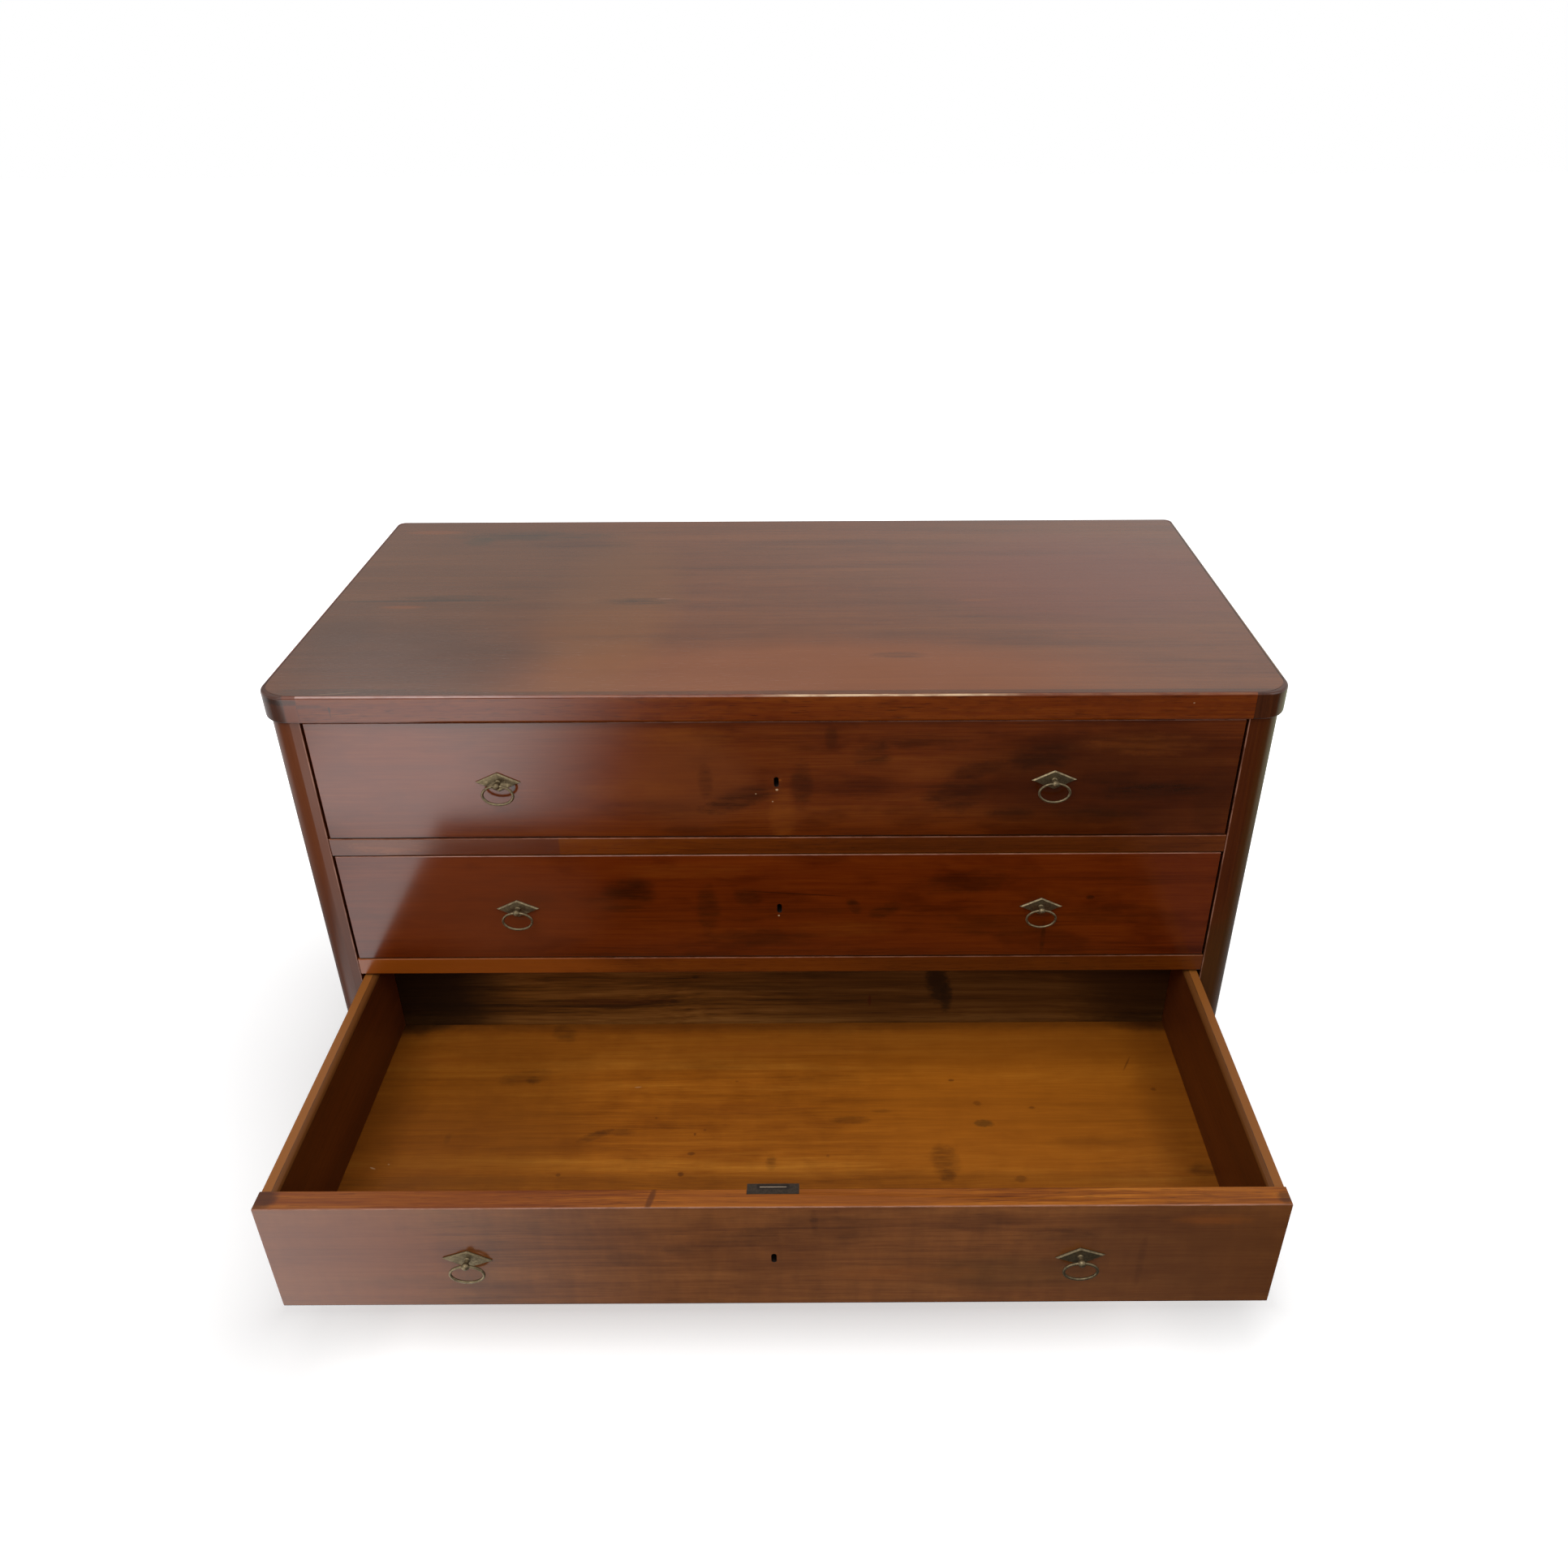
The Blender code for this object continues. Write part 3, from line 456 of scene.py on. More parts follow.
@dataclass(frozen=True)
class Metal:
    """A worn metal: bare where it is rubbed, dark where dirt stays."""
    CLOUD = (260.0,) * 3, 4.0, 0.65, 0.4
    SPECK = (1400.0,) * 3, 3.0, 0.7, 0.0
    bare: Colour
    dirty: Colour
    roughness: float
    metallic: float
    grime: Range

    def dress(self, name: str, seed: float, marks: Iterable[Mark] = ()) -> bpy.types.Material:
        """Make the material of one metal piece."""
        sheet = Sheet(bpy.data.materials.new(name))
        place = sheet.axis("XYZ")
        cloud = sheet.noise(place, *self.CLOUD, (seed, 0, 0))
        speck = sheet.noise(place, *self.SPECK, (seed, 2, 0))
        dirt = (cloud * 0.7 + speck * 0.3).step(*self.grime)
        colour = sheet.mix(dirt, screen(*self.bare), screen(*self.dirty))
        for mark in marks:
            colour = mark.paint(sheet, colour)
        roughness = (dirt * 0.25 + speck * 0.15 + (self.roughness - 0.08)).clamped()
        return sheet.finish(
            colour, roughness, cloud * 0.5 + speck * 0.5, 0.00018, Metallic=self.metallic)


# Colours as a screen shows them, from 0 to 255, as in all timbers, metals and marks below.
DARK = (44, 18, 4)
# A near-black brown for seams, stains and dirt, and also for painted shade and shadows in corners,
# slots, under arrises and by the pulls.
SOOT_AND_SHADE = (24, 12, 4)
MOSS = (66, 46, 14)
RUST = (58, 22, 4)
AMBER = (142, 74, 18)
PALE = (206, 172, 132)
ROSE = (196, 140, 116)

FRONT_VENEER = Timber(
    (62, 24, 4), (98, 42, 7), (122, 62, 18),
    contrast=0.20, figure=0.60, figure_colour=(0.48, 0.38, 0.28), ripple=0.07, pores=0.12,
    roughness=0.15, relief=0.000015)
TOP_DRAWER_VENEER = replace(
    FRONT_VENEER, dark=(66, 24, 3), middle=(103, 43, 6), light=(126, 62, 14))
MIDDLE_DRAWER_VENEER = replace(
    FRONT_VENEER, dark=(66, 21, 3), middle=(103, 38, 4), light=(122, 52, 8))
BOTTOM_DRAWER_VENEER = replace(
    FRONT_VENEER, dark=(86, 44, 16), middle=(126, 72, 30), light=(144, 88, 40),
    figure=0.36, ripple=0.22, pores=0.2, specular=0.4)
TOP_VENEER = Timber(
    (80, 42, 20), (112, 62, 28), (134, 78, 36), bands=26.0, lines=200.0,
    figure=0.30, figure_size=(0.22, 0.05), figure_colour=(0.62, 0.62, 0.58), roughness=0.24,
    pores=0.22, ripple=0.07, relief=0.00002)
BAND_VENEER = Timber(
    (72, 26, 2), (109, 43, 1), (136, 66, 8), pores=0.5, figure=0.40,
    figure_size=(0.025, 0.005), roughness=0.19, specular=0.42)
CORNER_VENEER = Timber(
    (46, 18, 4), (74, 34, 12), (98, 50, 20), roughness=0.19, specular=0.4)
RAIL_MAHOGANY = Timber(
    (76, 30, 2), (112, 50, 4), (136, 72, 12), pores=0.4, figure=0.25,
    figure_colour=(0.5, 0.38, 0.3), roughness=0.20)
POST_MAHOGANY = Timber(
    (56, 23, 4), (92, 40, 9), (114, 57, 16), pores=0.15, roughness=0.19,
    specular=0.24, relief=0.00002)
DRAWER_MAHOGANY = Timber(
    (62, 26, 2), (84, 36, 4), (102, 50, 10),
    bands=20.0, roughness=0.45, specular=0.25)
EDGE_MAHOGANY = Timber(
    (112, 54, 12), (161, 90, 22), (194, 120, 40), lines=180.0, pores=0.55,
    contrast=0.10, ripple=0.12, roughness=0.45, specular=0.25)
FLOOR_PINE = Timber(
    (116, 60, 6), (160, 90, 18), (192, 122, 38),
    bands=26.0, lines=190.0, contrast=0.20, figure=0.50, figure_size=(0.06, 0.03),
    figure_from=(0.42, 0.70), figure_colour=(0.66, 0.58, 0.46), pores=0.14, ripple=0.11,
    roughness=0.42, specular=0.25)
WALL_PINE = Timber(
    (58, 32, 8), (120, 74, 26), (156, 106, 50),
    bands=56.0, lines=150.0, wander=0.030, contrast=0.12, figure=0.35, figure_size=(0.3, 0.06),
    figure_colour=(0.5, 0.42, 0.35), pores=0.10, roughness=0.45, specular=0.25)
RAW_PINE = Timber(
    (138, 98, 58), (172, 132, 86), (196, 160, 112),
    bands=24.0, lines=120.0, contrast=0.17, pores=0.15, ripple=0.05, roughness=0.72, specular=0.25)
END_MAHOGANY = Timber(
    (92, 48, 20), (134, 80, 40), (158, 102, 58),
    bands=90.0, lines=500.0, pores=0.5, roughness=0.5, specular=0.25)
# Near black: painted shade inside the keyholes.
KEYHOLE_SHADE = Timber((16, 8, 3), (26, 12, 5), (44, 22, 10), roughness=0.6)
IRON = Metal((60, 48, 36), (30, 23, 15), 0.55, 0.4, (0.35, 0.72))
BRASS = Metal((128, 114, 88), (92, 80, 60), 0.42, 1.0, (0.36, 0.70))


def spots(face: Face, rows: Iterable[tuple], **shared: float) -> list[Mark]:
    """Several spots on one face.

    Args:
        face: The face's axes.
        rows: Of each spot the centre's two coordinates and the two half sizes, in
            millimetres, then its colour, strength, turn and raggedness.
        shared: What the spots have in common.

    Returns:
        The spots.
    """
    return [
        Patch(face, (a / 1000, b / 1000), (c / 1000, d / 1000), *rest, **shared)
        for a, b, c, d, *rest in rows]


def figure(face: Face, rows: Iterable[tuple]) -> list[Mark]:
    """Clouds of dark or light figure, which break up along the grain."""
    return spots(face, rows, ragged=1.1, soft=1.0, streaked=0.6)


def haze(face: Face, rows: Iterable[tuple]) -> list[Mark]:
    """Large soft changes of colour."""
    return spots(face, rows, ragged=0.5, soft=0.9)


def specks(face: Face, rows: Iterable[tuple]) -> list[Mark]:
    """Small marks with a clear outline."""
    return spots(face, rows, ragged=1.3, soft=0.8)


TOP_MARKS = [
    *haze(Face.TOP, (
        (60, -40, 330, 85, (142, 76, 27), 0.65), (-222, 150, 80, 250, (140, 86, 30), 0.38),
        (-450, 260, 260, 250, (84, 56, 32), 0.45), (-470, 0, 170, 110, (66, 38, 20), 0.55),
        (-560, 90, 45, 60, (56, 36, 20), 0.25), (420, 260, 200, 150, (118, 56, 38), 0.5))),
    *figure(Face.TOP, (
        (-375, 432, 110, 18, (50, 42, 28), 0.6), (-300, 395, 70, 14, DARK, 0.35),
        (-455, 412, 20, 20, (64, 52, 32), 0.6, 20), (-430, 190, 80, 10, (54, 40, 24), 0.6, -2),
        (-185, 177, 52, 11, (54, 38, 24), 0.65), (150, 5, 30, 8, (66, 38, 20), 0.6),
        (300, 120, 90, 12, DARK, 0.22), (-60, 300, 130, 14, DARK, 0.2),
        (120, 400, 160, 14, DARK, 0.22), (-150, 60, 130, 12, DARK, 0.2),
        (450, 60, 90, 16, AMBER, 0.25), (350, 350, 120, 12, DARK, 0.2),
        (0, 220, 100, 16, AMBER, 0.18), (-475, -86, 130, 6, (46, 32, 18), 0.5))),
    *specks(Face.TOP, (
        (-375, 436, 70, 3, SOOT_AND_SHADE, 0.3), (-490, 181, 92, 3.5, (40, 32, 20), 0.5, 1),
        (-155, 185, 10, 1.6, ROSE, 0.3), (480, 170, 130, 0.8, (54, 32, 18), 0.45),
        (-505, -93, 22, 1.2, PALE, 0.25, 8))),
    *haze(Face.TOP, (
        (-530, 450, 40, 8, AMBER, 0.4), (-500, 160, 26, 5, AMBER, 0.4),
        (262, 176, 22, 3.5, AMBER, 0.35, 2))),
    Zone({"X": (-0.5966, -0.595)}, SOOT_AND_SHADE, 0.55, 0.0004, 0.5, "Y"),
    Zone({"X": (0.5946, 0.5966)}, SOOT_AND_SHADE, 0.7, 0.0004, 0.3, "Y"),
    Zone({"Y": (-0.0972, -0.09)}, (54, 32, 14), 0.55, 0.0016, 0.25),
    Zone({"Y": (-0.0988, -0.0974)}, SOOT_AND_SHADE, 0.65, 0.0004, 0.5),
    Zone({"Y": (0.4924, 0.4938)}, SOOT_AND_SHADE, 0.4, 0.0004, 0.6)]

TOP_DRAWER_MARKS = [
    *haze(Face.FRONT, (
        (-470, 600, 120, 90, (134, 58, 24), 0.45), (-240, 600, 160, 70, (128, 56, 16), 0.45),
        (-105, 600, 70, 60, (124, 68, 32), 0.35), (410, 585, 180, 90, (56, 18, 0), 0.7),
        (530, 560, 24, 50, DARK, 0.25))),
    *figure(Face.FRONT, (
        (-45, 575, 42, 12, DARK, 0.75, 18), (-85, 600, 8, 22, DARK, 0.5),
        (30, 595, 12, 30, DARK, 0.55), (66, 660, 7, 14, DARK, 0.45),
        (115, 635, 20, 16, DARK, 0.55, 10), (215, 580, 36, 20, DARK, 0.6, 20),
        (315, 632, 38, 20, DARK, 0.7, 12), (285, 552, 26, 9, DARK, 0.6),
        (392, 552, 48, 12, DARK, 0.65), (450, 585, 62, 11, DARK, 0.8, 3),
        (405, 602, 36, 9, DARK, 0.65), (240, 615, 30, 9, DARK, 0.5, 15),
        (175, 655, 50, 10, DARK, 0.4), (-150, 560, 70, 14, DARK, 0.35),
        (430, 648, 70, 14, AMBER, 0.28), (6, 553, 15, 36, AMBER, 0.4),
        (-110, 660, 60, 12, AMBER, 0.35), (180, 612, 30, 10, AMBER, 0.3, 8),
        (-180, 590, 60, 14, AMBER, 0.3))),
    # The last speck is a painted shadow by the right tip of the left plate.
    *specks(Face.FRONT, (
        (4, 602, 2.4, 1.2, AMBER, 0.9), (0.5, 588.6, 1.6, 1.3, PALE, 0.9),
        (-5, 572, 0.8, 0.8, PALE, 0.8), (-25, 583, 0.8, 0.8, PALE, 0.7),
        (-316, 593, 2.6, 5, SOOT_AND_SHADE, 0.8)))]
MIDDLE_DRAWER_MARKS = [
    *figure(Face.FRONT, (
        (-190, 435, 30, 26, DARK, 0.75, 10), (-310, 425, 28, 18, DARK, 0.65),
        (-235, 420, 24, 10, DARK, 0.6), (-90, 410, 13, 34, DARK, 0.6),
        (-40, 431, 16, 12, DARK, 0.55), (95, 415, 7, 12, DARK, 0.7, 30),
        (135, 408, 20, 9, DARK, 0.7, 20), (230, 450, 60, 16, DARK, 0.45, 5),
        (-20, 365, 70, 12, DARK, 0.45), (340, 362, 3, 24, DARK, 0.6),
        (430, 400, 60, 14, DARK, 0.35), (280, 380, 60, 14, DARK, 0.35),
        (-120, 470, 80, 10, AMBER, 0.25), (80, 380, 60, 12, AMBER, 0.25))),
    *haze(Face.FRONT, (
        (-390, 420, 150, 80, (132, 68, 40), 0.5), (520, 420, 36, 70, (116, 46, 8), 0.2))),
    *specks(Face.FRONT, (
        (15, 435, 66, 0.8, SOOT_AND_SHADE, 0.6, -4), (395, 427, 5, 3.0, DARK, 0.7),
        (-1, 400.5, 1.2, 1.2, PALE, 0.8)))]
BOTTOM_DRAWER_MARKS = [
    *haze(Face.FRONT, (
        (470, 230, 160, 90, (86, 46, 16), 0.6), (250, 200, 80, 26, MOSS, 0.3),
        (-480, 230, 130, 90, (136, 66, 30), 0.5))),
    *figure(Face.FRONT, (
        (-160, 226, 20, 10, DARK, 0.4), (-105, 240, 14, 8, DARK, 0.4),
        (-30, 259, 38, 12, DARK, 0.4, 10), (50, 272, 56, 26, DARK, 0.35),
        (44, 284, 4, 17, DARK, 0.4), (220, 284, 36, 15, DARK, 0.4), (310, 262, 36, 10, DARK, 0.4),
        (400, 220, 4, 40, DARK, 0.2), (470, 284, 38, 8, AMBER, 0.5),
        (140, 200, 80, 12, AMBER, 0.25), (-300, 280, 90, 10, DARK, 0.3),
        (-380, 190, 90, 10, DARK, 0.25)))]

POST_MARKS = {
    "front_leg_left": haze(Face.FRONT, (
        (-568, 560, 60, 150, (116, 58, 22), 0.6), (-570, 280, 60, 160, (88, 42, 14), 0.5))),
    # The narrow olive strip along the right post's outer rounding is a painted sheen.
    "front_leg_right": haze(Face.FRONT, (
        (570, 560, 60, 200, (62, 22, 2), 0.55), (590, 520, 16, 230, (76, 48, 16), 0.6),
        (575, 260, 40, 130, (64, 44, 14), 0.6)))}
UPPER_RAIL_MARKS = [
    Zone({"X": (-0.7, -0.27)}, (76, 34, 24), 0.7, 0.0015),
    *figure(Face.FRONT, (
        (-480, 508, 46, 9, (150, 84, 48), 0.55), (40, 508, 200, 30, DARK, 0.25)))]

FLOOR_MARKS = [
    # Painted light and shade on the drawer's floor: lighter at the right, darker at the left and
    # along both sides, and painted shade along the back and in its two back corners, under the
    # rail; the long strip near the front is a faint olive streak.
    *haze(Face.TOP, (
        (330, -190, 230, 150, (184, 106, 22), 0.4), (-400, -230, 150, 160, (114, 62, 8), 0.55),
        (535, -200, 60, 200, (96, 50, 10), 0.45), (-540, -200, 56, 210, (104, 56, 12), 0.35),
        (0, -330, 560, 14, MOSS, 0.18), (0, -36, 700, 26, DARK, 0.55),
        (0, -90, 640, 50, (120, 62, 8), 0.45), (-540, -42, 70, 24, SOOT_AND_SHADE, 0.8),
        (530, -40, 66, 26, DARK, 0.7))),
    *figure(Face.TOP, (
        (-305, -65, 14, 18, SOOT_AND_SHADE, 0.43, 40), (-340, -150, 34, 11, DARK, 0.4, 10),
        (-331, -156, 9, 7, SOOT_AND_SHADE, 0.43), (-235, -255, 19, 6, DARK, 0.54, 25),
        (-205, -249, 22, 5, DARK, 0.36), (90, -230, 24, 6, DARK, 0.43),
        (205, -300, 15, 26, DARK, 0.54, 8), (206, -322, 10, 9, DARK, 0.36),
        (-10, -300, 6, 11, DARK, 0.43), (520, -315, 18, 10, DARK, 0.5),
        (130, -215, 12, 3, DARK, 0.36), (-420, -258, 4, 8, DARK, 0.36),
        (-100, -130, 60, 10, DARK, 0.18), (60, -160, 50, 12, DARK, 0.16),
        (400, -270, 60, 10, DARK, 0.18), (-60, -210, 70, 12, AMBER, 0.3),
        (-480, -120, 60, 12, AMBER, 0.25), (-20, -100, 90, 9, AMBER, 0.3))),
    *specks(Face.TOP, (
        (260, -237, 11, 6, MOSS, 0.58), (-120, -318, 3.4, 3.2, RUST, 0.58),
        (295, -328, 7, 5, DARK, 0.36), (255, -202, 5, 4, RUST, 0.36, -30),
        (-110, -285, 4.5, 2.6, RUST, 0.5), (-108, -253, 1.6, 2.6, RUST, 0.5),
        (-96, -246, 2.0, 1.8, RUST, 0.36), (225, -160, 4.0, 2.2, RUST, 0.5),
        (465, -130, 1.2, 14, RUST, 0.43, -28), (325, -210, 4.0, 2.4, RUST, 0.43),
        (490, -178, 3.6, 2.8, RUST, 0.43), (-270, -318, 3.0, 2.4, RUST, 0.43),
        (-500, -306, 3.6, 0.9, PALE, 0.5, -20), (-482, -300, 1.2, 0.8, PALE, 0.4),
        (-190, -170, 4, 0.9, PALE, 0.35, 5), (-160, -225, 1.6, 1.6, RUST, 0.36),
        (-60, -160, 2.0, 1.4, RUST, 0.32), (60, -290, 2.0, 2.4, RUST, 0.32)))]

WALL_MARKS = [
    # Painted shade in both back corners of the drawer; the wall is also darker towards the right.
    *haze(Face.FRONT, (
        (-490, 245, 95, 110, SOOT_AND_SHADE, 0.95), (495, 250, 90, 90, SOOT_AND_SHADE, 0.8),
        (260, 240, 330, 80, (60, 32, 8), 0.6))),
    *figure(Face.FRONT, (
        (-230, 215, 70, 8, (70, 26, 8), 0.5), (60, 266, 90, 9, SOOT_AND_SHADE, 0.5, 3),
        (-60, 240, 120, 8, SOOT_AND_SHADE, 0.3, -4))),
    *specks(Face.FRONT, (
        (200, 284, 26, 12, SOOT_AND_SHADE, 0.85), (212, 250, 14, 34, SOOT_AND_SHADE, 0.85, 6),
        (226, 222, 8, 26, SOOT_AND_SHADE, 0.75), (120, 215, 2.0, 9, (70, 16, 4), 0.7),
        (-120, 258, 4.5, 3.0, SOOT_AND_SHADE, 0.5)))]


@dataclass
class PhotoCamera:
    """The camera of the photograph; the angles are in radians, the lens in millimetres."""
    place: Point = (0.0523, -1.3884, 1.3703)
    yaw: float = 0.00158
    pitch: float = -0.54005
    roll: float = -0.0038
    lens: float = 28.804
    shift: float = -0.0240

    def build(self) -> None:
        """Make the camera and look through it."""
        data = bpy.data.cameras.new("photo_camera")
        data.sensor_width = 36.0
        data.sensor_fit = "HORIZONTAL"
        data.lens = self.lens
        data.shift_x = self.shift
        data.clip_end = 100.0
        camera = bpy.data.objects.new("photo_camera", data)
        camera.matrix_world = Matrix.Translation(self.place) @ (
            Matrix.Rotation(-self.yaw, 4, "Z")
            @ Matrix.Rotation(math.pi / 2 + self.pitch, 4, "X")
            @ Matrix.Rotation(self.roll, 4, "Z"))
        bpy.context.scene.collection.objects.link(camera)
        bpy.context.scene.camera = camera
        LOG.info("camera at %s", self.place)


@dataclass
class Studio:
    """A plain pale floor, a white surround and soft lamps."""
    floor_half: float = 14.0
    shadow_half: tuple[float, float] = (0.62, 0.30)
    shadow_ahead: float = 0.08
    shadow_fade: float = 0.45
    surround: float = 0.42
    lamps: tuple = (
        ("key", (-0.9, -1.4, 2.9), (0.0, 0.05, 0.4), (2.4, 1.8), 44.0),
        ("fill", (2.4, -1.2, 2.0), (0.0, 0.0, 0.4), (1.6, 1.6), 10.0),
        ("back", (-0.62, 2.4, 2.6), (0.0, 0.2, 0.4), (2.2, 1.2), 14.0))

    def build(self) -> None:
        """Make the floor, the world, the lamps and the cards."""
        self._floor()
        self._world()
        for name, place, target, size, power in self.lamps:
            self._lamp(name, place, target, size, power)
        self._cards()
        LOG.info("studio built")

    def _floor(self) -> None:
        """A large floor that fades to white away from the chest and its shadow."""
        bpy.ops.mesh.primitive_plane_add(size=2 * self.floor_half, location=(0, 0, 0))
        floor = bpy.context.object
        floor.name = "studio_floor"
        sheet = Sheet(bpy.data.materials.new("studio_floor"))
        x, y = sheet.axis("X"), sheet.axis("Y")
        past_x = (abs(x) - self.shadow_half[0]).most(0.0)
        past_y = (abs(y + self.shadow_ahead) - self.shadow_half[1]).most(0.0)
        away = (past_x * past_x + past_y * past_y) ** 0.5
        # The shadow is deeper at the left end of the chest and lighter beyond the right one.
        dim = x.step(-0.58, -0.44, 0.30, 0.0) + x.step(0.42, 0.54, 0.0, 0.10)
        dim = dim + x.step(-0.70, -0.62, 0.15, 0.0) * y.step(-0.35, 0.12)
        dim = dim + x.step(0.56, 0.63, 0.0, -0.12)
        glow = ((away / self.shadow_fade).least(1.0) ** 0.6) * 0.50 + 0.50
        glow = glow - dim * away.step(0.3, 1.0, 1.0, 0.0)
        pale = sheet.node("ShaderNodeBsdfDiffuse", sockets={"Color": (0.80, 0.80, 0.80)})
        white = sheet.node("ShaderNodeEmission", sockets={
            "Color": (1, 1, 1), "Strength": self._seen(sheet) * glow})
        both = sheet.node("ShaderNodeAddShader", sockets={0: pale, 1: white})
        sheet.node("ShaderNodeOutputMaterial", sockets={"Surface": both})
        floor.data.materials.append(sheet.holder)

    @staticmethod
    def _seen(sheet: Sheet) -> Socket:
        """1 for rays from the camera, a gloss or a glass."""
        path = [sheet.node("ShaderNodeLightPath", output=name) for name in (
            "Is Camera Ray", "Is Glossy Ray", "Is Transmission Ray")]
        return path[0].most(path[1]).most(path[2])

    def _world(self) -> None:
        """A world that looks white and lights the object softly."""
        world = bpy.data.worlds.new("studio_world")
        bpy.context.scene.world = world
        sheet = Sheet(world)
        light = sheet.node("ShaderNodeBackground", sockets={
            "Color": (1, 1, 1),
            "Strength": self._seen(sheet) * (1 - self.surround) + self.surround})
        sheet.node("ShaderNodeOutputWorld", sockets={"Surface": light})

    @staticmethod
    def _lamp(name: str, place: Point, target: Point, size: tuple[float, float],
              power: float) -> None:
        """One soft rectangular lamp."""
        data = bpy.data.lights.new(name + "_lamp", "AREA")
        data.shape = "RECTANGLE"
        data.size, data.size_y = size
        data.energy = power
        lamp = bpy.data.objects.new(name + "_lamp", data)
        lamp.location = place
        aim = Vector(target) - Vector(place)
        lamp.rotation_euler = aim.to_track_quat("-Z", "Y").to_euler()
        lamp.visible_camera = False
        bpy.context.scene.collection.objects.link(lamp)

    def _cards(self) -> None:
        """Cards that only the polish reflects: they stand for the room round the chest."""
        ground, sheet = self._card("ground_card", (0.0, -0.8, 0.003), (8.0, 6.6), (0, 0, 0))
        place, depth = sheet.axis("X"), sheet.axis("Y")
        # The far part shows in the upper drawer and the band, the near part below them.
        under = depth.step(-1.42, -1.34)
        far = place.step(-0.76, -0.33, 3.75, 0.05) * (
            place.step(-1.20, -1.06, 0.10, 1.0) * under + (1 - under))
        near = place.step(-0.80, -0.08, 2.5, 0.17) * place.step(0.3, 0.8, 1.0, 0.3)
        near = near * place.step(-1.10, -0.82, 0.12, 1.0)
        front = depth.step(-1.0, -0.85)
        ahead = near * front + far * (1 - front)
        # The sides of the chest see the part beside it, which is greenish at the right.
        beside = abs(place).step(1.2, 1.8, 0.25, 0.8)
        level = depth.step(-0.30, -0.05)
        olive = sheet.mix(place.step(0.9, 1.4), (1, 1, 1), (0.82, 0.89, 0.64))
        self._glow(ground, sheet, beside * level + ahead * (1 - level), olive)
        wall, sheet = self._card(
            "dark_card", (0.0, -4.0, 0.7), (8.0, 1.4), (-math.pi / 2, 0, 0))
        self._glow(wall, sheet, sheet.axis("X").step(-2.0, -0.8, 0.8, 0.01))
        back, sheet = self._card("back_card", (0.0, 2.6, 1.6), (9.0, 3.0), (math.pi / 2, 0, 0))
        # The top board sees the back card, which is dim in an oval behind its left half.
        glow = sheet.axis("X").step(-0.6, 1.3, 0.48, 0.78)
        aside, above = (sheet.axis("X") + 0.5) / 1.5, (sheet.axis("Z") - 2.15) / 0.36
        dim = (aside * aside + above * above).step(0.2, 1.6, 0.36, 1.0)
        self._glow(back, sheet, glow * dim)

    @staticmethod
    def _card(name: str, place: Point, size: tuple[float, float],
              turn: Point) -> tuple[bpy.types.Object, Sheet]:
        """A flat card that shows in reflections only, and the sheet for its glow."""
        bpy.ops.mesh.primitive_plane_add(size=1.0, location=place, rotation=turn)
        card = bpy.context.object
        card.name = name
        card.scale = (size[0], size[1], 1.0)
        bpy.ops.object.transform_apply(location=True, rotation=True, scale=True)
        for ray in ("camera", "diffuse", "transmission", "shadow"):
            setattr(card, "visible_" + ray, False)
        return card, Sheet(bpy.data.materials.new(name))

    @staticmethod
    def _glow(card: bpy.types.Object, sheet: Sheet, strength: Socket,
              colour: Paint = (1, 1, 1)) -> None:
        """Give a card a glow of a varying strength."""
        light = sheet.node("ShaderNodeEmission", sockets={"Color": colour, "Strength": strength})
        sheet.node("ShaderNodeOutputMaterial", sockets={"Surface": light})
        sheet.holder.cycles.emission_sampling = "NONE"
        card.data.materials.append(sheet.holder)


Chosen = Callable[[object], bool]


def body_of(node: str) -> str:
    """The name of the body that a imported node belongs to."""
    bodies = frame["record"]["behaviour"]["bodies"]
    return next(body for body, nodes in bodies.items() if node in nodes)


def everywhere(_: object) -> bool:
    """True of every face."""
    return True


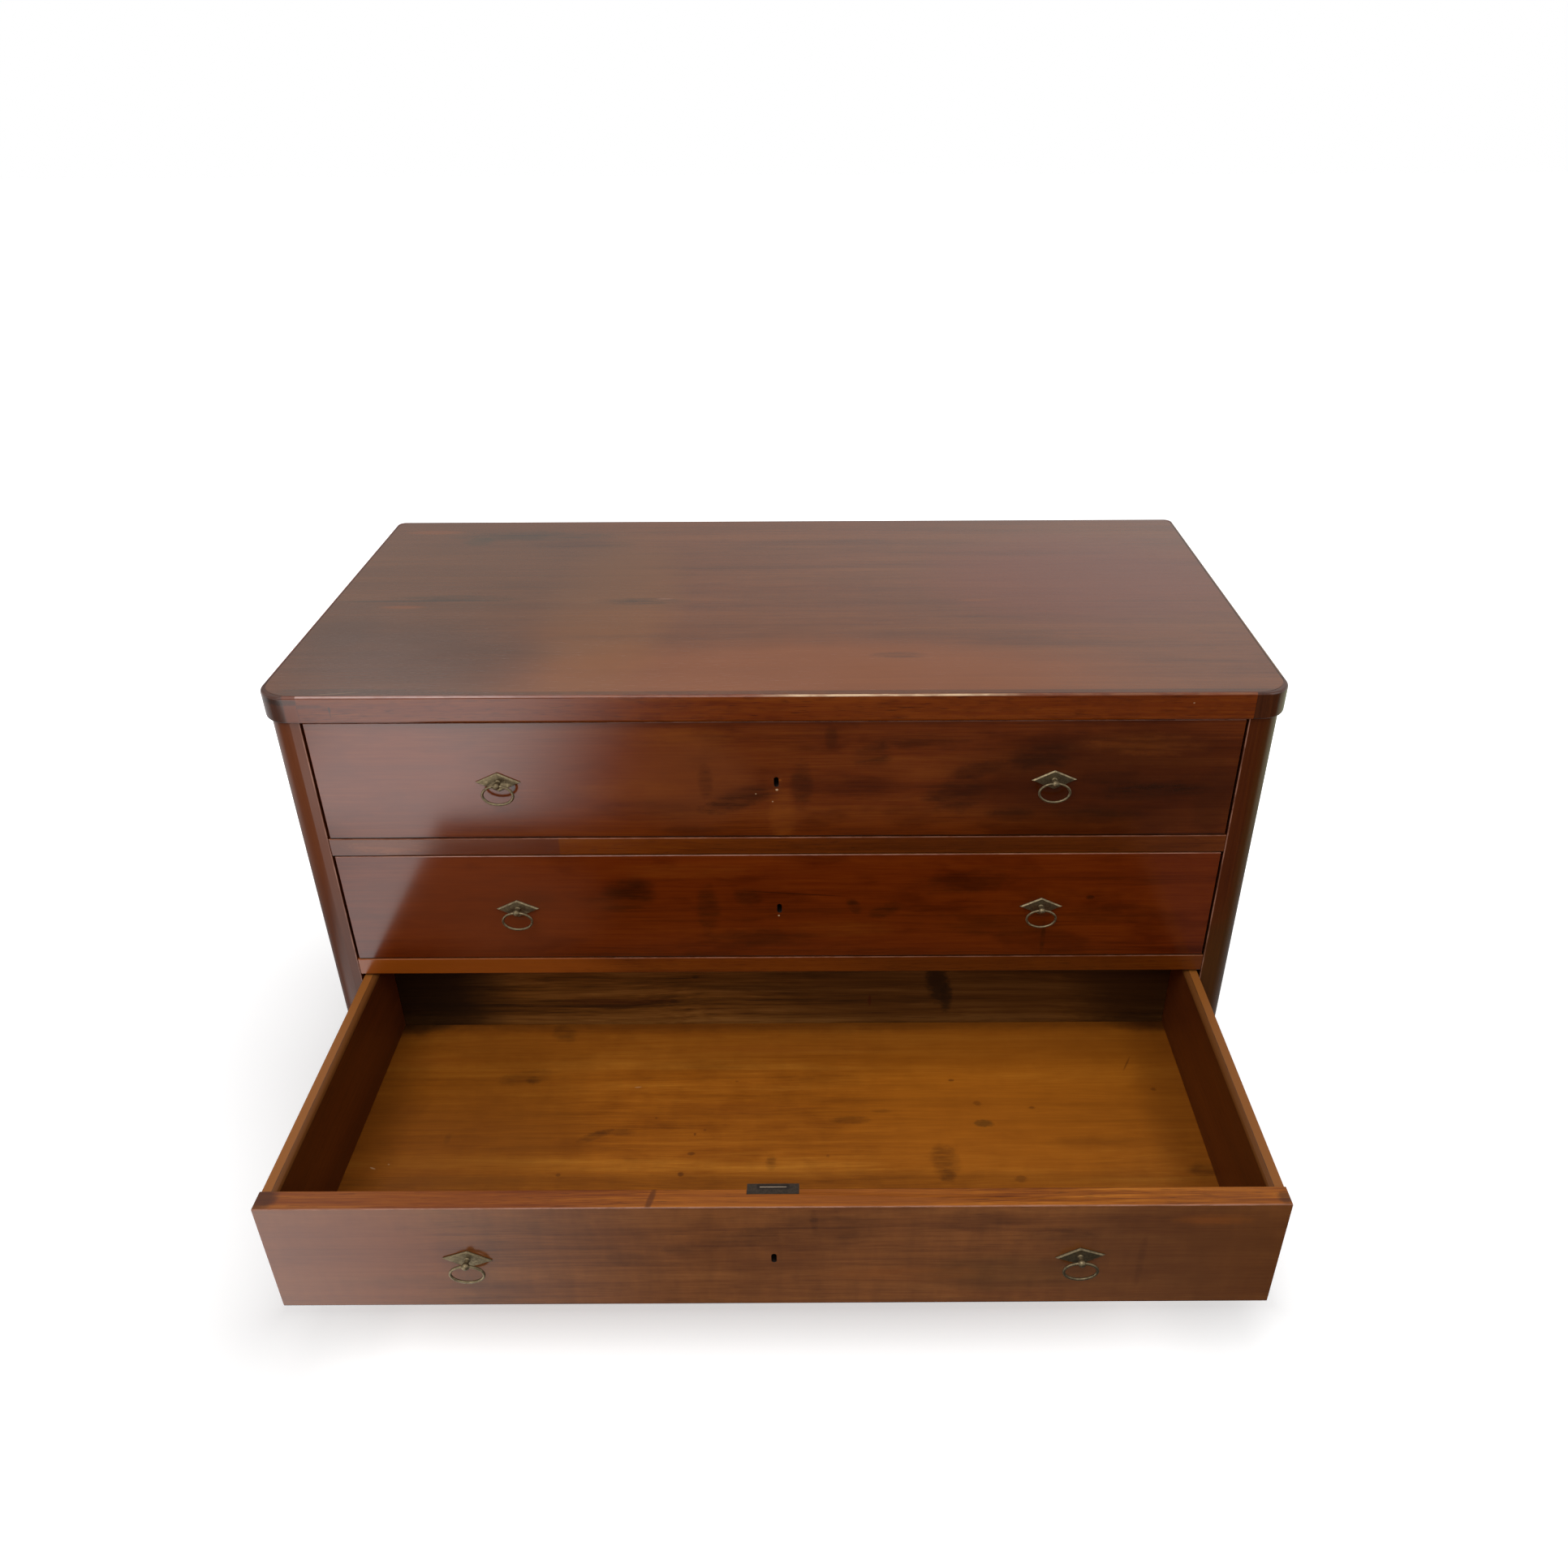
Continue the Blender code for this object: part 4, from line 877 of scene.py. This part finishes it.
class Piece:
    """A new piece, shaped with Blender's operators as by hand."""
    WELD = 0.000002

    def __init__(self, name: str, made: bpy.types.Object | None = None) -> None:
        """Name an object, or else the one that an operator has just added."""
        self.object = made or bpy.context.object
        self.object.name = self.object.data.name = name

    @classmethod
    def block(cls, name: str, low: Sequence[float], high: Sequence[float]) -> "Piece":
        """A block between two corners."""
        low, high = Vector(low), Vector(high)
        bpy.ops.mesh.primitive_cube_add(size=1.0, location=(low + high) / 2)
        bpy.context.object.scale = high - low
        return cls(name).settled()

    @classmethod
    def of_mesh(cls, name: str, mesh: bpy.types.Mesh) -> "Piece":
        """A piece with a copy of a mesh."""
        made = bpy.data.objects.new(name, mesh.copy())
        bpy.context.scene.collection.objects.link(made)
        return cls(name, made)

    @classmethod
    def copy_of(cls, node: str) -> "Piece":
        """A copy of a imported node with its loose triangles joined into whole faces."""
        return cls.of_mesh(node + "_worked", frame["nodes"][node].data).welded(
            lambda: bpy.ops.mesh.dissolve_limited(angle_limit=math.radians(0.5)))

    def select(self) -> None:
        """Select this object alone and make it active."""
        bpy.ops.object.select_all(action="DESELECT")
        self.object.select_set(True)
        bpy.context.view_layer.objects.active = self.object

    def settled(self) -> "Piece":
        """Put the object's place, turn and scale into its mesh."""
        self.select()
        bpy.ops.object.transform_apply(location=True, rotation=True, scale=True)
        return self

    def edit(self, kind: str, chosen: Chosen, *actions: Callable[[], object]) -> "Piece":
        """Run operators on some of the mesh in edit mode.

        Args:
            kind: "VERT", "EDGE" or "FACE".
            chosen: Says of each such element whether it is selected.
            actions: The operators, in order.

        Returns:
            This piece.
        """
        self.select()
        bpy.ops.object.mode_set(mode="EDIT")
        bpy.ops.mesh.select_mode(type=kind)
        bpy.ops.mesh.select_all(action="DESELECT")
        mesh = bmesh.from_edit_mesh(self.object.data)
        for element in {"VERT": mesh.verts, "EDGE": mesh.edges, "FACE": mesh.faces}[kind]:
            element.select_set(chosen(element))
        mesh.select_flush_mode()
        bmesh.update_edit_mesh(self.object.data)
        for action in actions:
            action()
        bpy.ops.object.mode_set(mode="OBJECT")
        return self

    def welded(self, *actions: Callable[[], object]) -> "Piece":
        """Merge the vertices that lie on one another, then run more operators on all of them."""
        return self.edit(
            "VERT", everywhere, lambda: bpy.ops.mesh.remove_doubles(threshold=self.WELD), *actions)

    def round_edges(self, chosen: Callable[[Vector], bool], radius: float,
                    segments: int) -> "Piece":
        """Round the edges whose both ends are chosen by their place."""
        return self.edit(
            "EDGE", lambda edge: all(chosen(vert.co) for vert in edge.verts),
            lambda: bpy.ops.mesh.bevel(offset=radius, segments=segments, affect="EDGES"))

    def split(self, axis: int, level: float) -> "Piece":
        """Cut every face that crosses a level of an axis in two."""
        point, normal = Vector((0, 0, 0)), Vector((0, 0, 0))
        point[axis], normal[axis] = level, 1.0
        return self.edit(
            "FACE", everywhere, lambda: bpy.ops.mesh.bisect(plane_co=point, plane_no=normal))

    def combine(self, tool: "Piece", operation: str) -> "Piece":
        """Join with another piece or cut it away, by a boolean."""
        self.modified("BOOLEAN", operation=operation, solver="EXACT", object=tool.object)
        bpy.data.objects.remove(tool.object)
        return self

    def modified(self, kind: str, **settings: object) -> "Piece":
        """Add a modifier with these settings and apply it."""
        self.select()
        modifier = self.object.modifiers.new(kind.lower(), kind)
        for key, value in settings.items():
            setattr(modifier, key, value)
        bpy.ops.object.modifier_apply(modifier=modifier.name)
        return self

    def smooth(self, angle: float) -> "Piece":
        """Shade smoothly across edges flatter than an angle in degrees.

        The large flat faces keep their own normals, so what they reflect stays straight.
        """
        self.select()
        bpy.ops.object.shade_smooth_by_angle(angle=math.radians(angle))
        return self.modified("WEIGHTED_NORMAL", keep_sharp=True)

    def finish(self, nodes: Sequence[str], slot: str,
               *finishes: tuple[bpy.types.Material, Chosen]) -> None:
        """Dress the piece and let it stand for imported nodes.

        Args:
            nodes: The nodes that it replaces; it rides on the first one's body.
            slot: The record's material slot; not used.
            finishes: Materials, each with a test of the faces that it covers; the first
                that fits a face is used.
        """
        mesh = self.object.data
        mesh.materials.clear()
        for material, _ in finishes:
            mesh.materials.append(material)
        for face in mesh.polygons:
            face.material_index = next(
                number for number, (_, covers) in enumerate(finishes) if covers(face))
        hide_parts(*nodes)
        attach(self.object, body_of(nodes[0]))


def dress(node: str, material: bpy.types.Material) -> None:
    """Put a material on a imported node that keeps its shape."""
    for slot in frame["nodes"][node].material_slots:
        slot.material = material


@dataclass
class TopBoard:
    """The top: a veneered field within a banded edge, hollow underneath."""
    front_radius: float = 0.035
    rear_radius: float = 0.012
    nosing: float = 0.003
    under_rounding: float = 0.004
    rim: float = 0.020
    core: float = 0.019
    seam_in: float = 0.0038
    seam_radius: float = 0.0385
    seam_width: float = 0.0005
    seam_depth: float = 0.0004
    left_joint: float = -0.550
    right_joint: float = 0.556
    joint_back: float = 0.047

    def build(self) -> None:
        """Model the board and dress it."""
        low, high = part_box("top_board")
        self.low, self.high = low, high
        board = self._rounded("top_board_worked", low, high, self.front_radius, self.rear_radius)
        board.round_edges(lambda co: co.z > high.z - NEAR, self.nosing, 5)
        board.round_edges(lambda co: co.z < low.z + NEAR, self.under_rounding, 4)
        for axis, level in ((0, self.left_joint), (0, self.right_joint),
                            (1, low.y + self.joint_back)):
            board.split(axis, level)
        board.combine(self._groove(), "DIFFERENCE")
        inner = Vector((self.rim, self.rim, 0))
        recess = Piece.block("recess", (low + inner)[:2] + (low.z - self.rim,),
                             (high - inner)[:2] + (high.z - self.core,))
        board.combine(recess, "DIFFERENCE").smooth(40)
        board.finish(
            ["top_board"], "mahogany_veneer",
            (RAW_PINE.dress("top_underside", Grain.ALONG_X, 3.3), self._is_under),
            (TOP_VENEER.dress("top_field", Grain.ALONG_X, 1.3, TOP_MARKS), self._is_field),
            (CORNER_VENEER.dress("band_corners", Grain.ALONG_Z, 6.1, (
                Zone({"X": (-0.565, -0.5)}, (109, 46, 8), 0.85, 0.002),
                Patch(Face.FRONT, (-0.562, 0.711), (0.030, 0.0035), SOOT_AND_SHADE, 0.6))),
             self._is_corner),
            # A painted olive sheen along the nosing at the right end of the top.
            (BAND_VENEER.dress("band_sides", Grain.ALONG_Y, 4.9, (
                Zone({"X": (high.x - 0.0034, high.x - 0.0010),
                      "Z": (high.z - 0.001, high.z + PAST)},
                     (128, 112, 64), 0.55, 0.0004, 0.3, "Y"),)), self._is_side),
            (BAND_VENEER.dress("band_front", Grain.ALONG_X, 2.7, self._band_marks()), everywhere))
        LOG.info("top board built")

    def _band_marks(self) -> list[Mark]:
        """The joints in the front band, its worn upper arris with a painted highlight along it,
        and a few spots.
        """
        front = self.low.y - PAST
        lip = {"Y": (front, self.low.y + 0.0026), "Z": (self.high.z - 0.0016, self.high.z + PAST)}
        return [
            *(Zone({"X": (level - 0.0003, level + 0.0003), "Y": (front, self.low.y + 0.002)},
                   SOOT_AND_SHADE, 0.75, 0.0003) for level in (self.left_joint, self.right_joint)),
            # The worn lip along the top of the band, with a painted highlight: pale at the left,
            # faint towards the middle, brightest just right of it, faint again at the right end.
            *(Zone({"X": ends, **lip}, colour, strength, 0.0006, broken, fade=fade)
              for ends, colour, strength, broken, fade in (
                  ((-10.0, -0.28), (214, 180, 172), 0.55, 0.3, 0.12),
                  ((-0.28, 0.0), (160, 96, 62), 0.40, 0.8, 0.10),
                  ((0.0, 0.27), (232, 198, 156), 0.85, 0.5, 0.03),
                  ((0.27, 10.0), (156, 104, 66), 0.45, 0.7, 0.03))),
            *spots(Face.FRONT, (
                (-513, 702, 1.6, 3.4, SOOT_AND_SHADE, 0.6, 0, 0.4), (-513, 697, 0.6, 5, SOOT_AND_SHADE, 0.5, 0, 0.4),
                (484, 706, 1.0, 0.8, PALE, 0.45, 0, 0.4), (-560, 706, 40, 3, SOOT_AND_SHADE, 0.4, 0, 0.8)))]

    @staticmethod
    def _rounded(name: str, low: Vector, high: Vector, front: float, rear: float) -> Piece:
        """A block with rounded upright corners."""
        piece = Piece.block(name, low, high)
        for radius, level in ((front, low.y), (rear, high.y)):
            piece.edit(
                "EDGE", lambda edge, level=level: all(
                    abs(vert.co.y - level) < NEAR for vert in edge.verts)
                and abs(edge.verts[0].co.z - edge.verts[1].co.z) > NEAR,
                lambda radius=radius: bpy.ops.mesh.bevel(
                    offset=radius, segments=20, affect="EDGES"))
        return piece

    def _groove(self) -> Piece:
        """The tool that cuts the fine seam between the field and the band."""
        top = self.high.z + self.seam_depth
        bottom = self.high.z - self.seam_depth
        rings = []
        for inset in (self.seam_in - self.seam_width / 2, self.seam_in + self.seam_width / 2):
            step = Vector((inset, inset, 0))
            low, high = self.low + step, self.high - step
            low.z, high.z = bottom - len(rings) * 0.001, top + len(rings) * 0.001
            rings.append(self._rounded(
                "seam", low, high, self.seam_radius, self.rear_radius + self.seam_in))
        return rings[0].combine(rings[1], "DIFFERENCE")

    def _is_under(self, face: bpy.types.MeshPolygon) -> bool:
        """Whether a face is underneath or in the hollow."""
        rim = self.rim - NEAR
        inside = abs(face.center.x) < self.high.x - rim and (
            self.low.y + rim < face.center.y < self.high.y - rim)
        return face.normal.z < -0.95 or (inside and face.center.z < self.high.z - self.core / 2)

    def _is_field(self, face: bpy.types.MeshPolygon) -> bool:
        """Whether a face is the veneered field inside the seam, the only large one on top."""
        return face.normal.z > 0.99 and face.area > 0.001

    def _is_corner(self, face: bpy.types.MeshPolygon) -> bool:
        """Whether a face belongs to a corner piece of the band."""
        ahead = face.center.y < self.low.y + self.joint_back
        return ahead and not self.left_joint < face.center.x < self.right_joint

    def _is_side(self, face: bpy.types.MeshPolygon) -> bool:
        """Whether a face belongs to the band along a side."""
        return abs(face.center.x) > self.high.x - self.rim and abs(face.normal.y) < 0.7


class Case:
    """The legs, rails, side panels, back boards and runners."""

    def build(self) -> None:
        """Dress the pieces of the case."""
        for side, word in ((-1, "left"), (1, "right")):
            node = "front_leg_" + word
            low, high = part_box(node)
            inner = high.x if side < 0 else low.x
            # A pale line down the inner front arris, worn and with a painted highlight.
            worn = Zone({"X": (inner - ARRIS, inner + ARRIS), "Y": (low.y - PAST, low.y + ARRIS)},
                        ROSE, 0.55, 0.0004, 0.7, "Z")
            Piece.copy_of(node).smooth(35).finish(
                [node], "mahogany_solid",
                (POST_MAHOGANY.dress(node, Grain.ALONG_Z, 2.1 + side, [*POST_MARKS[node], worn]),
                 everywhere))
            node = "rear_leg_" + word
            dress(node, POST_MAHOGANY.dress(node, Grain.ALONG_Z, 5.3 + side))
            node = "side_panel_" + word
            dress(node, FRONT_VENEER.dress(node, Grain.ALONG_Y, 8.4 + side))
        LOG.info("legs and sides dressed")
        self._rails()
        self._hidden_boards()

    def _rails(self) -> None:
        """The three front rails, with their worn upper arrises, painted partly as highlights, and
        painted shade along their lower arrises.
        """
        for number, (node, warmth, marks) in enumerate((
                ("drawer_rail_upper", 0.10, UPPER_RAIL_MARKS), ("drawer_rail_lower", 0.65, ()),
                ("bottom_rail_front", 0.40, ()))):
            low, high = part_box(node)
            front = {"Y": (low.y - PAST, low.y + ARRIS)}
            middle = 1000 * high.z - 12
            dress(node, RAIL_MAHOGANY.dress(node, Grain.ALONG_X, 11.2 + number, (
                *marks,
                # The pale upper arris is worn and carries a painted highlight; the dark lower
                # arris is painted shade.
                Zone({"Z": (high.z - 0.0008, high.z + PAST), **front}, ROSE, 0.45, 0.0003, 0.6),
                Zone({"Z": (low.z - PAST, low.z + ARRIS), **front}, SOOT_AND_SHADE, 0.6, 0.0006, 0.4),
                *haze(Face.FRONT, (
                    (-430, middle, 190, 40, (164, 84, 22), warmth),
                    (330, middle, 230, 40, DARK, 0.35))))))
        LOG.info("rails dressed")

    def _hidden_boards(self) -> None:
        """The unpolished boards at the back and inside."""
        for number, node in enumerate(("bottom_rail_back", "top_rail_front", "top_rail_back")):
            dress(node, RAW_PINE.dress(node, Grain.ALONG_X, 15.3 + number))
        for number, (node, tone, knots) in enumerate((
                ("back_board_lower", (150, 106, 62), ((-310, 46), (180, -60))),
                ("back_board_middle", (186, 142, 92), ((90, 30),)),
                ("back_board_upper", (168, 122, 74), ((-120, -34), (420, 20))))):
            low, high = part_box(node)
            centre = 500 * (low.z + high.z)
            dress(node, RAW_PINE.dress(node, Grain.ALONG_X, 18.3 + number, (
                *haze(Face.FRONT, ((0, centre, 900, 300, tone, 0.45),)),
                *figure(Face.FRONT, ((x, centre + z, 44, 15, (132, 86, 44), 0.6)
                                     for x, z in knots)),
                *specks(Face.FRONT, ((x, centre + z, 10, 7, (84, 48, 24), 0.85)
                                     for x, z in knots)),
                Zone({"Z": (low.z - PAST, low.z + ARRIS)}, SOOT_AND_SHADE, 0.8, 0.0006))))
        runners = [f"runner_{level}_{side}" for level in ("top", "middle", "bottom")
                   for side in ("left", "right")]
        for number, node in enumerate(("kicker_left", "kicker_right", *runners)):
            dress(node, RAW_PINE.dress(node, Grain.ALONG_Y, 22.7 + number))
        LOG.info("hidden boards dressed")


@dataclass
class Pull:
    """A diamond back plate with a boss and a pierced ball, and the ring that hangs in it.

    It is modelled once at the origin, its ball's centre there, and copied to each place.
    """
    width: float = 0.054
    height: float = 0.026
    thickness: float = 0.0022
    plate_back: float = 0.0102
    chamfer: float = 0.0013
    boss: tuple[float, float] = (0.0036, 0.0018)
    stem: tuple[float, float] = (0.0029, 0.0023)
    ball: float = 0.0044
    eye: float = 0.0021
    wire: float = 0.0016
    packed_wire: float = 0.0014
    ring: tuple[float, float] = (0.0184, 0.0129)
    ring_steps: int = 96

    def build(self) -> None:
        """Model the pieces that the copies come from."""
        self.plate_pattern = self._plate()
        self.ring_pattern = self._ring()
        LOG.info("pull modelled")

    def _plate(self) -> Piece:
        """The plate, boss, stem and ball in one piece."""
        front = self.plate_back - self.thickness
        bpy.ops.mesh.primitive_cylinder_add(vertices=4, radius=1.0, depth=1.0)
        plate = Piece("pull_plate")
        plate.object.scale = (self.width / 2, self.height / 2, self.thickness)
        plate.settled()
        plate.object.rotation_euler = (math.pi / 2, 0, 0)
        plate.object.location = (0, self.plate_back - self.thickness / 2, 0)
        plate.settled()
        plate.round_edges(lambda co: co.y < front + NEAR, self.chamfer, 1)
        bpy.ops.mesh.primitive_uv_sphere_add(
            segments=32, ring_count=16, radius=self.boss[0], location=(0, front + 0.0002, 0))
        boss = Piece("boss")
        boss.object.scale.y = self.boss[1] / self.boss[0]
        plate.combine(boss.settled(), "UNION")
        start = front + 0.001
        bpy.ops.mesh.primitive_cone_add(
            vertices=32, radius1=self.stem[0], radius2=self.stem[1], depth=start,
            location=(0, start / 2, 0), rotation=(math.pi / 2, 0, 0))
        plate.combine(Piece("stem").settled(), "UNION")
        bpy.ops.mesh.primitive_uv_sphere_add(segments=40, ring_count=24, radius=self.ball)
        plate.combine(Piece("ball").settled(), "UNION")
        bpy.ops.mesh.primitive_cylinder_add(
            vertices=32, radius=self.eye, depth=4 * self.ball, rotation=(0, math.pi / 2, 0))
        plate.combine(Piece("eye").settled(), "DIFFERENCE")
        return plate.welded(lambda: bpy.ops.mesh.dissolve_degenerate(threshold=Piece.WELD))

    def _ring(self) -> Piece:
        """The oval wire ring, hanging from the origin."""
        bpy.ops.mesh.primitive_circle_add(vertices=self.ring_steps, radius=1.0)
        path = bpy.context.object
        path.scale = (*self.ring, 1.0)
        path.rotation_euler = (math.pi / 2, 0, 0)
        path.location = (0, 0, -self.ring[1])
        ring = Piece("pull_ring").settled()
        bpy.ops.object.convert(target="CURVE")
        ring.object.data.bevel_depth = self.wire
        ring.object.data.bevel_resolution = 4
        bpy.ops.object.convert(target="MESH")
        return ring.welded(lambda: bpy.ops.mesh.normals_make_consistent(inside=False))

    def hang(self, drawer: str, side: str, turn: float, seed: float) -> None:
        """Put a copy on a drawer.

        Args:
            drawer: The drawer's name.
            side: "left" or "right".
            turn: How far the plate is turned, in degrees anticlockwise from the front.
            seed: Moves the pattern of its finish.
        """
        prefix = f"{drawer}_drawer_{side}_pull_"
        low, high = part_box(prefix + "ring")
        centre = ((low.x + high.x) / 2, (low.y + high.y) / 2, high.z - self.packed_wire)
        for part, pattern, degrees, angle in (
                ("plate", self.plate_pattern, turn, 30), ("ring", self.ring_pattern, 0.0, 60)):
            copy = Piece.of_mesh(prefix + part + "_worked", pattern.object.data)
            copy.object.rotation_euler = (0, -math.radians(degrees), 0)
            copy.object.location = centre
            copy.settled().smooth(angle).finish(
                [prefix + part], "brass",
                (BRASS.dress(prefix + part, seed + len(part)), everywhere))

    def clear(self) -> None:
        """Remove the patterns."""
        for pattern in (self.plate_pattern, self.ring_pattern):
            bpy.data.objects.remove(pattern.object)


@dataclass
class Drawer:
    """One drawer with its lock and its two pulls."""
    name: str
    seed: float
    turns: tuple[float, float]
    veneer: Timber
    front_marks: Sequence[Mark]
    floor_marks: Sequence[Mark] = ()
    wall_marks: Sequence[Mark] = ()

    def build(self, pull: Pull) -> None:
        """Dress the pieces of the drawer and hang its pulls."""
        prefix = self.name + "_drawer_"
        self._front(prefix + "front")
        for number, side in enumerate(("left", "right")):
            self._side(f"{prefix}{side}_side", (-1, 1)[number])
            pull.hang(self.name, side, self.turns[number], self.seed + number)
        dress(prefix + "back", WALL_PINE.dress(
            prefix + "back", Grain.ALONG_X, self.seed + 4.2, self.wall_marks))
        dress(prefix + "floor", FLOOR_PINE.dress(
            prefix + "floor", Grain.ALONG_X, self.seed + 5.9, self.floor_marks))
        self._lock(prefix + "lock", prefix + "lock_bolt")
        LOG.info("%s drawer built", self.name)

    @staticmethod
    def _lock(plate: str, bolt: str) -> None:
        """The lock's blackened plate, with painted shade in the bolt's slot, and the bolt in it,
        whose end is rubbed bright and carries a painted highlight.
        """
        low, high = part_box(bolt)
        plate_low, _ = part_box(plate)
        middle = (low.y + high.y) / 2
        above = {"Z": (high.z - 0.001, high.z + PAST)}
        dress(plate, IRON.dress(plate, low.z * 10, (
            # Painted shade in the slot that the bolt comes out of.
            Zone({"X": (low.x - 0.003, high.x + 0.003), **above,
                  "Y": (middle - 0.0032, middle + 0.0032)}, SOOT_AND_SHADE, 0.8, 0.0008),
            Zone({"Y": (plate_low.y - PAST, plate_low.y + 0.0016), **above},
                 (36, 26, 16), 0.6, 0.0006, 0.5))))
        dress(bolt, IRON.dress(bolt, high.z * 10, (
            # The rubbed top of the bolt, with a painted highlight.
            Zone({"Y": (middle - 0.0008, middle + 0.0003), **above},
                 (176, 158, 138), 0.85, 0.0003, 0.3),)))

    def _front(self, node: str) -> None:
        """The front: veneer on its face, solid mahogany on its edges and inside."""
        low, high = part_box(node)
        face = low.y

        def in_keyhole(polygon: bpy.types.MeshPolygon) -> bool:
            """Whether a face lies in the keyhole."""
            return abs(polygon.normal.y) < 0.5 and abs(polygon.center.x) < 0.02 and (
                low.z + 0.02 < polygon.center.z < high.z - 0.02)

        arris = {"Y": (face - PAST, face + ARRIS)}
        veneer_marks = (
            *self.front_marks,
            # The pale upper arris is worn and carries a painted highlight; the dark lower arris is
            # painted shade.
            Zone({"Z": (high.z - 0.0008, high.z + PAST), **arris}, ROSE, 0.45, 0.0003, 0.6),
            Zone({"Z": (low.z - PAST, low.z + 0.0016), **arris}, SOOT_AND_SHADE, 0.85, 0.0005, 0.2))
        tick = 0.8 if self.name == "bottom" else 0.0
        edge_marks = (
            # The pale front arris of the top edge is worn and carries a painted highlight.
            Zone({"Y": (face - PAST, face + 0.0016)}, ROSE, 0.7, 0.0003, 0.5),
            *spots(Face.TOP, (
                (x, 1000 * face + y, *rest) for x, y, *rest in (
                    (-130, 11, 3.5, 16, (58, 26, 8), tick, -12, 0.8),
                    (-400, 12, 240, 40, (112, 54, 26), 0.6, 0, 0.5),
                    (40, 12, 150, 40, (156, 88, 32), 0.5, 0, 0.5),
                    (-545, 16, 16, 16, (52, 24, 14), 0.75, 0, 0.8),
                    (545, 10, 8, 8, DARK, 0.6, 0, 0.8)))))
        end_marks = (Zone({"Y": (face - PAST, face + 0.009)}, (70, 32, 8), 0.8, 0.0004),)
        Piece.copy_of(node).smooth(50).finish(
            [node], "mahogany_veneer",
            # The keyhole's walls are near black, as painted shade.
            (KEYHOLE_SHADE.dress(node + "_keyhole", Grain.ALONG_X, self.seed), in_keyhole),
            (self.veneer.dress(node, Grain.ALONG_X, self.seed, veneer_marks),
             lambda polygon: polygon.normal.y < -0.3 and polygon.center.y < face + 0.002),
            (EDGE_MAHOGANY.dress(node + "_edge", Grain.ALONG_X, self.seed + 2, edge_marks),
             lambda polygon: polygon.normal.z > 0.3),
            (END_MAHOGANY.dress(node + "_ends", Grain.ALONG_X, self.seed + 6, end_marks),
             lambda polygon: abs(polygon.center.x) > high.x - 0.001),
            (DRAWER_MAHOGANY.dress(node + "_inside", Grain.ALONG_X, self.seed + 3), everywhere))

    def _side(self, node: str, side: int) -> None:
        """A side: red-brown, with a worn upper edge."""
        low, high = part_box(node)
        outer = low.x if side < 0 else high.x
        line = outer - side * 0.0105
        top = high.z + PAST
        marks = (
            Zone({"Z": (high.z - 0.0050, top)}, (154, 94, 38), 0.85, 0.0006),
            Zone({"Z": (high.z - 0.0070, top), "X": tuple(sorted((line, line - side * 0.02)))},
                 (58, 28, 8), 0.6, 0.0005),
            Zone({"Z": (high.z - 0.0020, top), "X": (line - 0.0004, line + 0.0004)},
                 SOOT_AND_SHADE, 0.7, 0.0003, 0.5, "Y"))
        Piece.copy_of(node).smooth(35).finish(
            [node], "drawer_mahogany",
            (DRAWER_MAHOGANY.dress(node, Grain.ALONG_Y, self.seed + 1.3 + side, marks),
             everywhere))


def main() -> None:
    """Build the studio and the chest."""
    logging.basicConfig(level=logging.INFO, format="%(name)s: %(message)s")
    bpy.context.scene.view_settings.view_transform = "Standard"
    PhotoCamera().build()
    Studio().build()
    TopBoard().build()
    Case().build()
    pull = Pull()
    pull.build()
    for drawer in (
            Drawer("top", 31.0, (-0.7, 1.0), TOP_DRAWER_VENEER, TOP_DRAWER_MARKS),
            Drawer("middle", 38.0, (0.0, 0.0), MIDDLE_DRAWER_VENEER, MIDDLE_DRAWER_MARKS),
            Drawer("bottom", 45.0, (-4.5, 5.0), BOTTOM_DRAWER_VENEER, BOTTOM_DRAWER_MARKS,
                   FLOOR_MARKS, WALL_MARKS)):
        drawer.build(pull)
    pull.clear()


if __name__ == "__main__":
    main()
